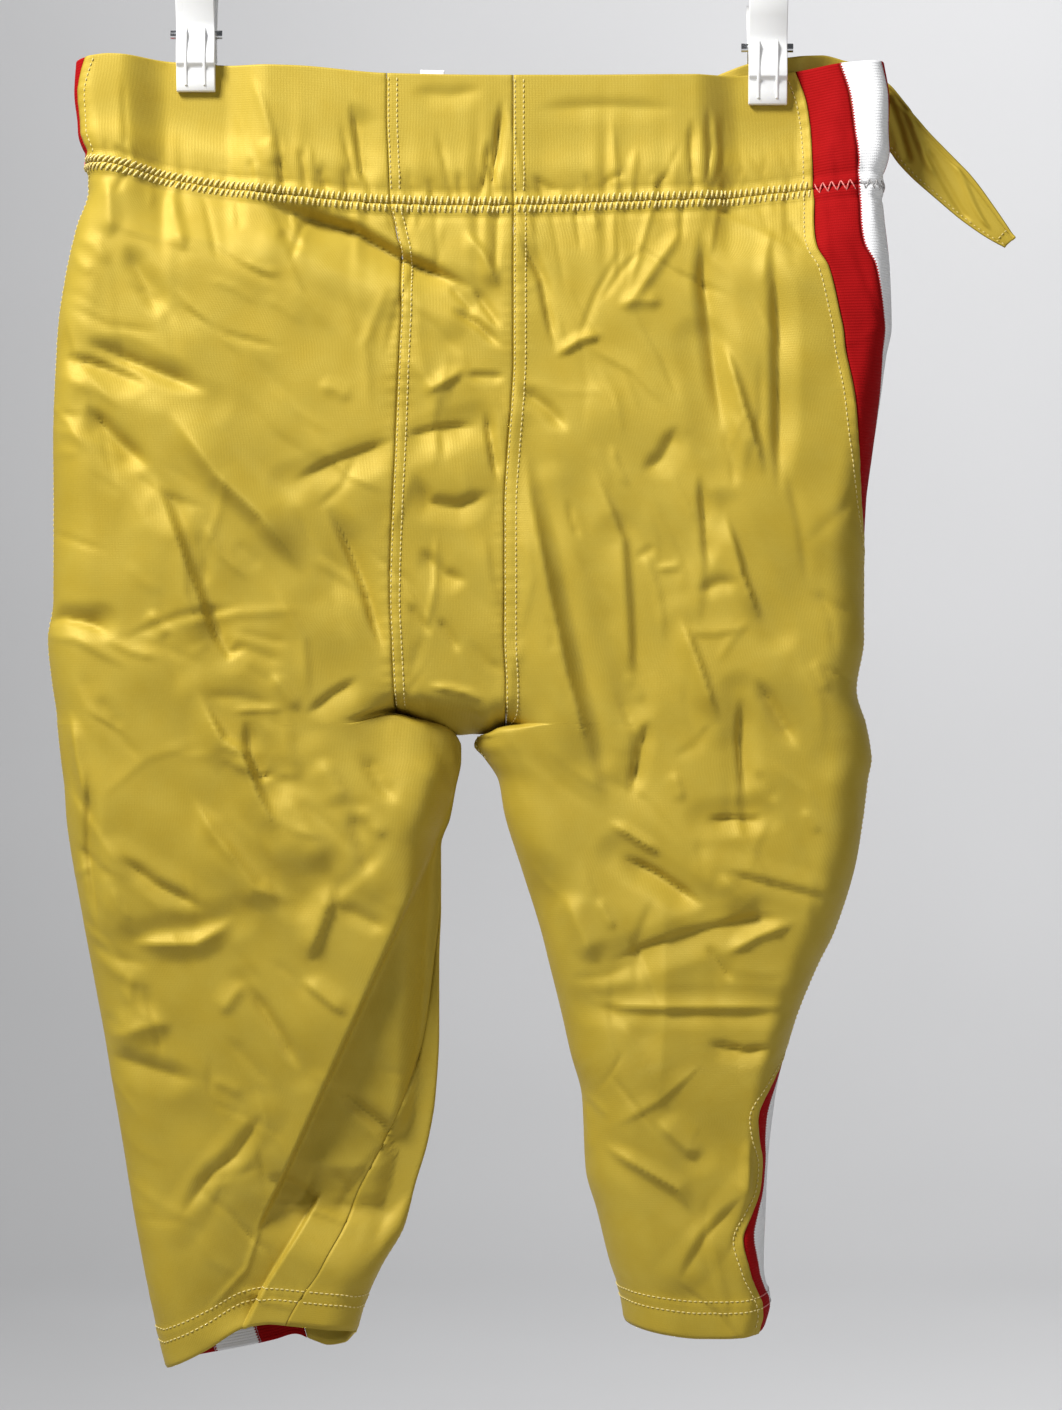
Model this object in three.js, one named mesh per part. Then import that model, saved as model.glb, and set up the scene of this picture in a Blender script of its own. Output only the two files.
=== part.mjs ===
// Football pants hung by the waistband from the two spring clips of a hanger.
//
// Millimetres, +Z up. The viewer looks along +Y and sees the back of the pants, with the wearer's
// left at -X. The origin is the inside top of the hanger's hook. Heights on the cloth are given as
// a drop below the waist datum, and places across as a distance from the hook's plumb line.

import * as THREE from "three";

// ---------------------------------------------------------------------------------------------
// Driving dimensions
// ---------------------------------------------------------------------------------------------

const WALL = 1.6;            // knit panel with its seam allowance
const SEAM = 0.3;            // gap between pieces that meet
const BAND_SEAM = 0.5;       // the same under the waistband, whose edge is gathered
const WAIST_DATUM = 140.4;   // from the hook's inside top down to the waist datum
const BAND_DEPTH = 66;       // elasticated waistband, from its top edge to its seam
const CROTCH = 353;          // drop of the gusset's underside
const CROTCH_TURN = 16;      // height over which the gusset turns under
const GUSSET_FRONT = 312;    // drop at which the gusset ends on the front
const HEM = 682;             // drop of the leg's nominal hem
const STRIPE = 25;           // width of each of the three braids at a side
const PINCHED = 2;           // how far a layer's face stands off the middle inside a clip
const CLIP_SPREAD = 154;     // from the middle to each clip
const PINCH_FLAT = 15;       // the cloth is flat this far to each side of a clip's middle
const PINCH_REACH = 40;      // and free of the clip's pull from here on
const PINCH_DEPTH = 24;      // the same going down: flat to here
const PINCH_FADE = 120;      // free from here

const TUCK = { line: 55, fadeFrom: 430, fadeTo: 540 };
const COLUMNS = { back: 16, front: 8, stripe: 2, gusset: 5, bandBack: 32, bandCentre: 10, bandFront: 16, tucked: 5 };
const SEAM_STIFFNESS = 0.6;  // share of a fold that the felled seams hold flat
const GATHERS = { count: 20, height: 1.5, reach: 34 };

// ---------------------------------------------------------------------------------------------
// Tables: one row for each section or fold
// ---------------------------------------------------------------------------------------------

const table = (columns, rows) =>
  rows.map((row) => Object.fromEntries(columns.map((name, index) => [name, row[index]])));

// Top edge of the waistband and its seam, across the back.
const WAIST_LINE = table(["x", "top", "seam"], [
  [-219, -4, 51], [-200, -7, 53], [-166, -4, 61], [-134, -2, 66], [-98, -1, 70],
  [-51, 3, 74], [0, 4, 75], [79, 4, 73], [119, 4, 72], [159, 2, 68], [194, -2, 65], [217, -4, 64],
]);

// Outline of each half by drop: the outer silhouette and the inner edge. Above the crotch the
// inner edge is the long felled seam of the gusset; below it, it is the inside of the leg.
const LEFT_OUTLINE = table(["drop", "outer", "inner"], [
  [0, -219, -51], [20, -220, -51], [45, -217, -50], [66, -213, -49], [80, -212, -46], [97, -218, -43],
  [124, -225, -43], [151, -229, -44], [205, -231, -46], [286, -231, -49], [308, -234, -48],
  [329, -232, -47], [353, -229, -46], [354, -229, -46], [356, -229, -34], [359, -228, -18],
  [364, -228, -11], [372, -227, -11], [388, -225, -14], [404, -224, -17], [419, -222, -22],
  [452, -216, -22], [481, -211, -23], [518, -204, -23], [554, -198, -25], [578, -194, -29],
  [602, -190, -36], [625, -185, -42], [646, -180, -54], [668, -174, -64], [682, -170, -68],
]);
const RIGHT_OUTLINE = table(["drop", "outer", "inner"], [
  [0, 217, 17], [20, 220, 17], [45, 219, 17], [66, 216, 17], [80, 217, 17], [109, 220, 17],
  [140, 221, 17], [156, 218, 17], [178, 215, 16], [205, 211, 14], [238, 207, 12], [271, 206, 12],
  [307, 206, 12], [335, 202, 13], [353, 207, 13], [354, 207, 13], [356, 208, 5], [359, 208, -2],
  [364, 209, -4], [372, 210, 2], [384, 208, 9], [401, 206, 12], [430, 201, 21], [465, 190, 32],
  [481, 182, 36], [509, 170, 43], [531, 163, 48], [554, 158, 54], [593, 154, 56], [617, 153, 62],
  [649, 152, 69], [669, 155, 75], [682, 152, 77],
]);

// How far the layers stand off the middle: towards the body's centre and towards the side.
const DEPTHS = table(["drop", "leftMiddle", "leftSide", "rightMiddle", "rightSide"], [
  [0, 9, 18, 9, 18], [66, 13, 22, 13, 22], [110, 18, 27, 18, 28], [200, 24, 31, 24, 31],
  [300, 26, 33, 26, 34], [353, 26, 34, 26, 36], [420, 30, 34, 30, 38], [500, 30, 29, 36, 38],
  [600, 23, 23, 36, 36], [682, 19, 19, 34, 34],
]);

// How wide the rounded outer and inner sides of a section are.
const ROUNDING = table(["drop", "leftOuter", "leftInner", "rightOuter", "rightInner"], [
  [0, 16, 24, 16, 24], [110, 24, 26, 24, 24], [353, 28, 28, 28, 26], [450, 26, 26, 24, 28],
  [540, 24, 24, 16, 28], [682, 20, 18, 16, 30],
]);

// Where the braids start: an inset from the silhouette on the back, then a wrap round the side.
const LEFT_BRAID = table(["drop", "inset", "wrap"], [
  [0, 1, 0], [66, 0, 0], [110, 0, 3], [353, 0, 5], [682, 0, 10],
]);
const RIGHT_BRAID = table(["drop", "inset", "wrap"], [
  [0, 48, 0], [38, 42, 0], [66, 38, 0], [98, 40, 0], [110, 35, 0], [140, 29, 0], [173, 18, 0],
  [205, 10, 0], [241, 3, 0], [271, 0, 0], [320, 0, 4], [490, 0, 4], [520, 0, 1], [560, 8, 0],
  [590, 6, 0], [627, 12, 0], [682, 4, 0],
]);

// How far round the leg the inseam has turned onto the back.
const INSEAM = table(["drop", "left", "right"], [
  [353, 0, 0], [400, 0, 0], [520, 14, -2], [600, 32, -4], [682, 48, -5],
]);

// The hems hang uneven: the edge of each layer, as a drop, across each leg.
const LEFT_HEM = table(["x", "near", "far"], [
  [-170, 702, 702], [-147, 691, 692], [-126, 680, 689], [-113, 678, 688], [-96, 680, 687],
  [-80, 680, 686], [-68, 681, 681],
]);
const RIGHT_HEM = table(["x", "near", "far"], [
  [77, 675, 675], [98, 680, 676], [116, 682, 676], [131, 682, 677], [152, 677, 677],
]);

// The largest folds of the back, as ridges (+) and troughs (-) along a line.
const FOLD_COLUMNS = ["x1", "drop1", "x2", "drop2", "height", "width"];
const BACK_FOLDS = table(FOLD_COLUMNS, [
  [-113, 75, -3, 121, -7, 17], [-108, 96, -20, 134, 4, 15],
  [-226, 156, -144, 183, -4, 14], [-211, 183, -166, 241, -6, 14], [-166, 241, -134, 315, -6, 14],
  [-166, 186, -94, 274, 4, 17], [-102, 225, -2, 192, -5, 14], [-83, 235, -51, 320, -4, 13],
  [-240, 297, -202, 299, -9, 13], [-134, 316, -125, 369, 4, 14], [-150, 336, -106, 416, 5, 15],
  [-106, 381, -77, 435, -5, 13], [-87, 368, -58, 438, 4, 13], [-137, 415, -98, 448, -5, 13],
  [-185, 469, -130, 455, -5, 14], [-193, 424, -145, 452, 4, 14], [-125, 492, -96, 538, -4, 13],
  [-115, 560, -161, 616, 5, 14], [-116, 594, -57, 614, -4, 13],
  [23, 197, 58, 369, -5, 15], [38, 225, 72, 373, 4, 14], [72, 252, 82, 341, -5, 14],
  [116, 146, 127, 215, -5, 16], [129, 239, 157, 305, -6, 13], [105, 296, 127, 354, 4, 14],
  [137, 336, 139, 395, -6, 13], [119, 404, 150, 400, -5, 13], [73, 422, 119, 450, -7, 14],
  [123, 430, 190, 447, 5, 14], [64, 481, 145, 455, -6, 14], [184, 372, 214, 372, -9, 13],
  [50, 502, 160, 503, -6, 13], [89, 520, 113, 580, -6, 15], [144, 597, 104, 649, 5, 14],
  [69, 578, 114, 616, -4, 13],
]);
const FRONT_FOLDS = table(FOLD_COLUMNS, [
  [-190, 110, -90, 190, -5, 20], [180, 120, 80, 205, -5, 20], [-120, 240, -60, 320, -5, 18],
  [110, 250, 40, 330, 5, 18], [-170, 330, -90, 400, -6, 18], [80, 350, 160, 410, -6, 18],
  [-110, 450, -170, 520, 5, 18], [70, 470, 140, 530, -5, 18], [-140, 580, -80, 640, -4, 16],
  [90, 590, 140, 650, 4, 16],
]);

// Folds that lie over: the layer drops by a step to one side of the line (+1 right, -1 left).
const BACK_STEPS = table(["x1", "drop1", "x2", "drop2", "height", "reach", "side"], [
  [-23, 417, -118, 594, 13, 70, 1],
  [-87, 609, -127, 684, 8, 45, -1],
]);

// The closing strap. It lies on the front waistband and stands a little above it, then leaves it
// at the side and droops: its two edges by station, and how far behind the middle each lies.
const TAB = { from: 112, leaves: 207, topRise: 9, drops: [0, 9, 21, 36] };
const TAB_FREE = table(["topX", "topDrop", "topY", "footX", "footDrop", "footY"], [
  [213, 0, 17, 209, 35, 19], [221, 5, 16, 216, 37, 18], [231, 17, 15, 222, 40, 16],
  [241, 30, 13, 227, 47, 14], [252, 42, 11, 234, 55, 12], [265, 56, 9, 246, 66, 10],
  [277, 73, 7, 261, 79, 8], [286, 87, 5, 275, 89, 6], [288, 90, 4, 284, 94, 5],
]);

const LABEL = { from: -33, to: -20, above: 3.5, length: 22, thickness: 0.8 };

// Hanger and clips, as heights above the origin (all negative) and plain sizes.
const BAR = { top: -75, height: 12, thickness: 5, half: 190, bossHalf: 17, bossRise: 9 };
const HOOK = { radius: 21, wire: 1.9, tip: -27, stem: -48 };
const CLIPS = table(["side", "x", "pin", "backPad"], [
  ["left", -CLIP_SPREAD, -121.5, PINCHED + SEAM],
  ["right", CLIP_SPREAD, -128.5, PINCHED + WALL + 2 * SEAM],
]);
const CLIP = { width: 20.8, jaw: 31, lever: 25, pinRadius: 2.4, pinLength: 28, loopWidth: 16 };

// ---------------------------------------------------------------------------------------------
// Materials
// ---------------------------------------------------------------------------------------------

const finish = (color, roughness, metalness = 0) =>
  new THREE.MeshStandardMaterial({ color, roughness, metalness });

const MATERIAL = {
  gold: finish(0xc9ae45, 0.45),
  red: finish(0xb0080e, 0.8),
  white: finish(0xf4f3f0, 0.8),
  tape: finish(0xf2f0ea, 0.7),
  plastic: finish(0xf1f1ee, 0.35),
  chrome: finish(0xc8c9cc, 0.2, 1),
};

// ---------------------------------------------------------------------------------------------
// Small mathematics
// ---------------------------------------------------------------------------------------------

const { clamp, lerp } = THREE.MathUtils;

function smooth(from, to, value) {
  const t = clamp((value - from) / (to - from), 0, 1);
  return t * t * (3 - 2 * t);
}

// A curve through a table's column that never overshoots between its rows.
function track(rows, key, column) {
  const at = rows.map((row) => row[key]);
  const value = rows.map((row) => row[column]);
  const last = rows.length - 1;
  const rise = (i) => (value[i + 1] - value[i]) / (at[i + 1] - at[i]);
  const slope = value.map((_, i) => {
    if (i === 0) return rise(0);
    if (i === last) return rise(last - 1);
    const before = rise(i - 1);
    const after = rise(i);
    return before * after <= 0 ? 0 : (2 * before * after) / (before + after);
  });
  return (x) => {
    if (x <= at[0]) return value[0];
    if (x >= at[last]) return value[last];
    const i = at.findIndex((edge) => edge > x) - 1;
    const span = at[i + 1] - at[i];
    const t = (x - at[i]) / span;
    const ease = t * t * (3 - 2 * t);
    const bend = span * t * (1 - t) * (slope[i] * (1 - t) - slope[i + 1] * t);
    return lerp(value[i], value[i + 1], ease) + bend;
  };
}

// How far along a fold's line a place is (0 to 1 between its ends) and how far to its right.
function alongFold(fold, x, drop) {
  const runX = fold.x2 - fold.x1;
  const runDrop = fold.drop2 - fold.drop1;
  const length = Math.hypot(runX, runDrop);
  const along = ((x - fold.x1) * runX + (drop - fold.drop1) * runDrop) / length;
  const off = ((x - fold.x1) * runDrop - (drop - fold.drop1) * runX) / length;
  return { along: along / length, beyond: Math.max(-along, along - length, 0), off };
}

function foldHeight(fold, x, drop) {
  const { beyond, off } = alongFold(fold, x, drop);
  const u = Math.hypot(beyond, off) / fold.width;
  return u < 1 ? fold.height * (1 - u * u) ** 2 : 0;
}

function stepHeight(step, x, drop) {
  const edge = 2.5;
  const { along, off } = alongFold(step, x, drop);
  const past = off * step.side;
  const ends = smooth(-0.08, 0.12, along) * (1 - smooth(0.85, 1.05, along));
  return -step.height * ends * smooth(0, edge, past) * (1 - smooth(step.reach * 0.4, step.reach, past));
}

// ---------------------------------------------------------------------------------------------
// The cloth's surface: a closed section at each drop, shared by every piece that lies on it
// ---------------------------------------------------------------------------------------------

const waistTop = track(WAIST_LINE, "x", "top");
const waistSeam = track(WAIST_LINE, "x", "seam");

function makeHalf(side, outline, braid, hem) {
  const sideName = side < 0 ? "left" : "right";
  return {
    side,
    core: outline[0].inner,
    outer: track(outline, "drop", "outer"),
    inner: track(outline, "drop", "inner"),
    middleDepth: track(DEPTHS, "drop", `${sideName}Middle`),
    sideDepth: track(DEPTHS, "drop", `${sideName}Side`),
    outerRound: track(ROUNDING, "drop", `${sideName}Outer`),
    innerRound: track(ROUNDING, "drop", `${sideName}Inner`),
    inseam: track(INSEAM, "drop", sideName),
    hem: { near: track(hem, "x", "near"), far: track(hem, "x", "far") },
    braid,
    sections: new Map(),
  };
}

const LEFT = makeHalf(-1, LEFT_OUTLINE, LEFT_BRAID, LEFT_HEM);
const RIGHT = makeHalf(1, RIGHT_OUTLINE, RIGHT_BRAID, RIGHT_HEM);

// True drop of a place on a layer: the waistband and the hems aren't level.
function trueDrop(half, layer, x, drop) {
  if (drop <= BAND_DEPTH) return lerp(waistTop(x), waistSeam(x), drop / BAND_DEPTH);
  const waistShare = 1 - smooth(BAND_DEPTH, BAND_DEPTH + 130, drop);
  const hemShare = smooth(HEM - 95, HEM, drop);
  return drop + (waistSeam(x) - BAND_DEPTH) * waistShare + (half.hem[layer](x) - HEM) * hemShare;
}

function gatherHeight(x, drop) {
  const away = Math.abs(drop - BAND_DEPTH) / GATHERS.reach;
  const turn = (x / (2 * RIGHT.outer(0))) * GATHERS.count;
  const uneven = 0.35 * Math.sin(turn * 1.7) + 0.2 * Math.sin(turn * 4.1);
  const strength = 0.65 + 0.35 * Math.sin(turn * 2.3 + 1);
  return GATHERS.height * strength * Math.sin((turn + uneven) * 2 * Math.PI) * Math.exp(-away * away);
}

function pinch(x, drop) {
  const beside = 1 - smooth(PINCH_FLAT, PINCH_REACH, Math.abs(Math.abs(x) - CLIP_SPREAD));
  return beside * (1 - smooth(PINCH_DEPTH, PINCH_FADE, drop));
}

// How far a layer stands off the middle, before the section is rounded at its sides.
function standOff(half, layer, x, drop) {
  const across = (x - half.core) / (half.outer(drop) - half.core);
  let depth = lerp(half.middleDepth(drop), half.sideDepth(drop), smooth(0.1, 0.75, across));
  depth += gatherHeight(layer === "near" ? x : x + 9, drop);
  const folds = layer === "near" ? BACK_FOLDS : FRONT_FOLDS;
  const stiff = lerp(1 - SEAM_STIFFNESS, 1, smooth(1, 12, Math.abs(x - half.inner(drop))));
  for (const fold of folds) depth += foldHeight(fold, x, drop) * stiff;
  if (layer === "near") for (const step of BACK_STEPS) depth += stepHeight(step, x, drop);
  return Math.max(PINCHED, lerp(depth, PINCHED, pinch(x, drop)));
}

// 1 where the section is open to the gusset, falling to 0 where the gusset has turned under.
function openness(drop) {
  const t = clamp((CROTCH - drop) / CROTCH_TURN, 0, 1);
  return Math.sqrt(1 - (1 - t) ** 2);
}

// The section of one half at a drop: from the inner edge over the back, round the side and back
// over the front to the inner edge, as a dense line with its length measured along it.
function section(half, drop) {
  const key = drop.toFixed(3);
  if (half.sections.has(key)) return half.sections.get(key);
  const steps = 56;
  const inner = half.inner(drop);
  const outer = half.outer(drop);
  const span = Math.abs(outer - inner);
  const outerRound = Math.min(half.outerRound(drop), span / 2);
  const innerRound = Math.min(half.innerRound(drop), span / 2);
  const open = openness(drop);
  const place = (layer, i) => {
    const share = 0.5 - 0.5 * Math.cos((Math.PI * i) / steps);
    const x = lerp(inner, outer, share);
    const fromOuter = Math.min(1, (span * (1 - share)) / outerRound);
    const fromInner = Math.min(1, (span * share) / innerRound);
    const closeOuter = Math.sqrt(1 - (1 - fromOuter) ** 2);
    const closeInner = Math.sqrt(1 - (1 - fromInner) ** 2 * (1 - open ** 2));
    const off = standOff(half, layer, x, drop) * closeOuter * closeInner;
    return { x, y: layer === "near" ? -off : off, z: -WAIST_DATUM - trueDrop(half, layer, x, drop) };
  };
  const line = [];
  for (let i = 0; i <= steps; i += 1) line.push(place("near", i));
  for (let i = steps - 1; i >= 0; i -= 1) line.push(place("far", i));
  let length = 0;
  line.forEach((point, i) => {
    if (i > 0) length += Math.hypot(point.x - line[i - 1].x, point.y - line[i - 1].y);
    point.s = length;
  });
  const result = { line, length, side: line[steps].s, closed: drop >= CROTCH };
  half.sections.set(key, result);
  return result;
}

function pointOn(half, drop, s) {
  const { line, length, closed } = section(half, drop);
  const at = closed ? ((s % length) + length) % length : clamp(s, 0, length);
  let low = 0;
  let high = line.length - 1;
  while (high - low > 1) {
    const middle = (low + high) >> 1;
    if (line[middle].s <= at) low = middle;
    else high = middle;
  }
  const t = (at - line[low].s) / Math.max(line[high].s - line[low].s, 1e-6);
  return new THREE.Vector3(
    lerp(line[low].x, line[high].x, t),
    lerp(line[low].y, line[high].y, t),
    lerp(line[low].z, line[high].z, t),
  );
}

function normalFrom(alongRow, downColumn, flip) {
  return new THREE.Vector3().crossVectors(alongRow, downColumn).multiplyScalar(flip).normalize();
}

// Outward normal, from the surface a little to each side.
function normalOn(half, drop, s) {
  const reach = 2;
  const fall = 1.2;
  const alongRow = pointOn(half, drop, s + reach).sub(pointOn(half, drop, s - reach));
  const low = Math.max(drop - fall, 0);
  const downColumn = pointOn(half, drop + fall, s).sub(pointOn(half, low, s));
  return normalFrom(alongRow, downColumn, -half.side);
}

// Length along the back from a place to the silhouette.
function lengthFromSide(half, drop, inset) {
  if (inset <= 0) return 0;
  const { line, side } = section(half, drop);
  const x = half.outer(drop) - half.side * inset;
  const after = line.findIndex((point) => (point.x - x) * half.side >= 0);
  return side - line[after].s + Math.abs(line[after].x - x);
}

// Length of the back from the inner edge to a line beside it.
function lengthToLine(half, drop) {
  const { line } = section(half, drop);
  const x = half.core + half.side * TUCK.line;
  const after = line.findIndex((point) => (point.x - x) * half.side >= 0);
  return line[after].s - Math.abs(line[after].x - x);
}

// Below the gusset a section has more cloth beside its inner edge than above. The few columns
// next to that edge take it up, so that the others run straight down the leg.
function tuckOf(half, drop) {
  const above = CROTCH - CROTCH_TURN;
  if (drop <= above) return 0;
  const more = lengthToLine(half, drop) - lengthToLine(half, above);
  return Math.max(more, 0) * (1 - smooth(TUCK.fadeFrom, TUCK.fadeTo, drop));
}

for (const half of [LEFT, RIGHT]) {
  const rows = half.braid.map(({ drop, inset, wrap }) => ({
    drop,
    offset: wrap - lengthFromSide(half, drop, inset),
  }));
  const offset = track(rows, "drop", "offset");
  half.braidStart = (drop) => section(half, drop).side + offset(drop);
}

// ---------------------------------------------------------------------------------------------
// Solids
// ---------------------------------------------------------------------------------------------

function named(name, geometry, material) {
  const mesh = new THREE.Mesh(geometry, material);
  mesh.name = name;
  return mesh;
}

// A closed wall: a grid of outer points and the grid of inner points behind it.
function wall(name, material, outer, inner, flip) {
  const rows = outer.length;
  const columns = outer[0].length;
  const positions = [];
  const faces = [];
  for (const grid of [outer, inner]) for (const row of grid) for (const p of row) positions.push(p.x, p.y, p.z);
  const index = (layer, r, c) => layer * rows * columns + r * columns + c;
  const triangle = (a, b, c) => faces.push(...(flip > 0 ? [a, b, c] : [a, c, b]));
  const quad = (a, b, c, d) => {
    triangle(a, b, c);
    triangle(a, c, d);
  };
  for (let r = 0; r < rows - 1; r += 1) {
    for (let c = 0; c < columns - 1; c += 1) {
      quad(index(0, r, c), index(0, r, c + 1), index(0, r + 1, c + 1), index(0, r + 1, c));
      quad(index(1, r, c), index(1, r + 1, c), index(1, r + 1, c + 1), index(1, r, c + 1));
    }
  }
  // The two pieces that meet along an edge split its faces along the same diagonal.
  const edge = (r1, c1, r2, c2) =>
    quad(index(0, r1, c1), index(1, r1, c1), index(1, r2, c2), index(0, r2, c2));
  const mirroredEdge = (r1, c1, r2, c2) =>
    quad(index(1, r1, c1), index(1, r2, c2), index(0, r2, c2), index(0, r1, c1));
  for (let c = 0; c < columns - 1; c += 1) {
    edge(0, c, 0, c + 1);
    mirroredEdge(rows - 1, c + 1, rows - 1, c);
  }
  for (let r = 0; r < rows - 1; r += 1) {
    edge(r, columns - 1, r + 1, columns - 1);
    mirroredEdge(r + 1, 0, r, 0);
  }
  const geometry = new THREE.BufferGeometry();
  geometry.setAttribute("position", new THREE.Float32BufferAttribute(positions, 3));
  geometry.setIndex(faces);
  return named(name, geometry, material);
}

// Share of a panel's width at a column, counted from the edge that takes up the tuck.
function columnShare(column, columns, width, tuck) {
  const plain = (width - tuck) / columns;
  const taken = Math.min(column / COLUMNS.tucked, 1) * tuck;
  return (taken + column * plain) / width;
}

// A piece of one half's surface between two lines that run down it. `tucked` names the edge that
// meets the gusset, if the piece has one.
function piece(name, material, half, columns, drops, from, to, tucked = "") {
  const outer = [];
  const inner = [];
  for (const drop of drops) {
    const start = from(drop) + SEAM / 2;
    const end = to(drop) - SEAM / 2;
    const tuck = tucked ? tuckOf(half, drop) : 0;
    const outerRow = [];
    const innerRow = [];
    for (let c = 0; c <= columns; c += 1) {
      const s = tucked === "end"
        ? lerp(end, start, columnShare(columns - c, columns, end - start, tuck))
        : lerp(start, end, columnShare(c, columns, end - start, tuck));
      const point = pointOn(half, drop, s);
      outerRow.push(point);
      innerRow.push(point.clone().addScaledVector(normalOn(half, drop, s), -WALL));
    }
    outer.push(outerRow);
    inner.push(innerRow);
  }
  return wall(name, material, outer, inner, -half.side);
}

// The strip between the two long seams: down the back, under the crotch and up the front. Its
// run is the drop on the back, and past the crotch it counts on while it climbs the front.
function centrePoint(run, share, inward = 0) {
  const onFront = run > CROTCH;
  const drop = onFront ? 2 * CROTCH - run : run;
  const layer = onFront ? "far" : "near";
  const x = lerp(LEFT.inner(drop) + SEAM / 2, RIGHT.inner(drop) - SEAM / 2, share);
  const off = standOff(LEFT, layer, x, drop) * openness(drop) - inward;
  const z = -WAIST_DATUM - trueDrop(LEFT, layer, x, drop);
  return new THREE.Vector3(x, onFront ? off : -off, z);
}

function centreNormal(run, share) {
  const across = centrePoint(run, Math.min(share + 0.05, 1)).sub(centrePoint(run, Math.max(share - 0.05, 0)));
  const down = centrePoint(run + 1, share).sub(centrePoint(Math.max(run - 1, 0), share));
  return normalFrom(across, down, -1);
}

function centrePiece(name, material, columns, runs) {
  const outer = [];
  const inner = [];
  for (const run of runs) {
    const shares = Array.from({ length: columns + 1 }, (_, c) => c / columns);
    outer.push(shares.map((share) => centrePoint(run, share)));
    inner.push(shares.map((share) =>
      centrePoint(run, share).addScaledVector(centreNormal(run, share), -WALL)));
  }
  return wall(name, material, outer, inner, -1);
}

// Drops of the grid's rows. All the pieces share them, so that their seams stay parallel.
const BAND_DROPS = [0, 9, 21, 36, 52, BAND_DEPTH - BAND_SEAM / 2];
const BODY_DROPS = [BAND_DEPTH + BAND_SEAM / 2, 79, 95, 113, 132, 152, 172, 192, 212, 232, 252, 272, 292, GUSSET_FRONT, 326];
const TURN_DROPS = [0, 22.5, 45, 67.5, 90].map(
  (angle) => CROTCH - CROTCH_TURN * (1 - Math.sin(THREE.MathUtils.degToRad(angle))),
);
const LEG_DROPS = [354, 356.5, 360, 366, 376, 390, 405, 420, 436, 453, 471, 490, 510, 531, 552, 573, 594, 615, 636, 654, 669, HEM];
const PANEL_DROPS = [...BODY_DROPS, ...TURN_DROPS, ...LEG_DROPS];
const GUSSET_RUNS = [
  ...BODY_DROPS, ...TURN_DROPS,
  ...[...BODY_DROPS, ...TURN_DROPS].filter((drop) => drop >= GUSSET_FRONT && drop < CROTCH)
    .reverse().map((drop) => 2 * CROTCH - (drop === GUSSET_FRONT ? drop + SEAM / 2 : drop)),
];
const FLY_RUNS = BODY_DROPS.filter((drop) => drop <= GUSSET_FRONT).reverse()
  .map((drop) => 2 * CROTCH - (drop === GUSSET_FRONT ? drop - SEAM / 2 : drop));
const BAND_FRONT_RUNS = [...BAND_DROPS].reverse().map((drop) => 2 * CROTCH - drop);

function halfPieces(half) {
  const name = half.side < 0 ? "left" : "right";
  const inseam = (drop) => (drop > CROTCH ? half.inseam(drop) : 0);
  const end = (drop) => section(half, drop).length + inseam(drop);
  const braidEdge = (count) => (drop) => half.braidStart(drop) + count * STRIPE;
  const pieces = [
    piece(`back_${name}`, MATERIAL.gold, half, COLUMNS.back, PANEL_DROPS, inseam, braidEdge(0), "start"),
    piece(`front_${name}`, MATERIAL.gold, half, COLUMNS.front, PANEL_DROPS, braidEdge(3), end, "end"),
    piece(`waistband_back_${name}`, MATERIAL.gold, half, COLUMNS.bandBack, BAND_DROPS, inseam, braidEdge(0)),
    piece(`waistband_front_${name}`, MATERIAL.gold, half, COLUMNS.bandFront, BAND_DROPS, braidEdge(3), end),
  ];
  ["red", "white", "red"].forEach((color, i) => {
    const [from, to] = [braidEdge(i), braidEdge(i + 1)];
    pieces.push(
      piece(`stripe_${name}_${i + 1}`, MATERIAL[color], half, COLUMNS.stripe, PANEL_DROPS, from, to),
      piece(`waist_stripe_${name}_${i + 1}`, MATERIAL[color], half, 2 * COLUMNS.stripe, BAND_DROPS, from, to),
    );
  });
  return pieces;
}

// The strap is made from the front waistband's own points, moved out, as far as it lies on it.
function waistTab() {
  const start = (drop) => RIGHT.braidStart(drop) + 3 * STRIPE + SEAM / 2;
  const end = (drop) => section(RIGHT, drop).length - SEAM / 2;
  const stations = [];
  for (let c = COLUMNS.bandFront; c >= 0; c -= 1) {
    const x = pointOn(RIGHT, 0, lerp(start(0), end(0), c / COLUMNS.bandFront)).x;
    if (x < TAB.from || x > TAB.leaves) continue;
    const column = TAB.drops.map((drop) => {
      const s = lerp(start(drop), end(drop), c / COLUMNS.bandFront);
      return { point: pointOn(RIGHT, drop, s), normal: normalOn(RIGHT, drop, s) };
    });
    const top = { point: column[0].point.clone(), normal: column[0].normal };
    top.point.z += TAB.topRise * smooth(TAB.from, TAB.from + 45, x);
    stations.push([top, ...column].map(({ point, normal }) => ({
      inner: point.clone().addScaledVector(normal, SEAM),
      outer: point.clone().addScaledVector(normal, SEAM + WALL),
    })));
  }
  const across = TAB.drops.length;
  for (const row of TAB_FREE) {
    const edge = (share) => new THREE.Vector3(
      lerp(row.topX, row.footX, share),
      lerp(row.topY, row.footY, share),
      -WAIST_DATUM - lerp(row.topDrop, row.footDrop, share),
    );
    const along = new THREE.Vector3(0, WALL, 0);
    stations.push(Array.from({ length: across + 1 }, (_, i) => ({
      inner: edge(i / across),
      outer: edge(i / across).add(along),
    })));
  }
  stations.reverse();
  const outer = stations.map((station) => station.map((place) => place.outer));
  const inner = stations.map((station) => station.map((place) => place.inner));
  return wall("waist_tab", MATERIAL.gold, outer, inner, 1);
}

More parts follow.
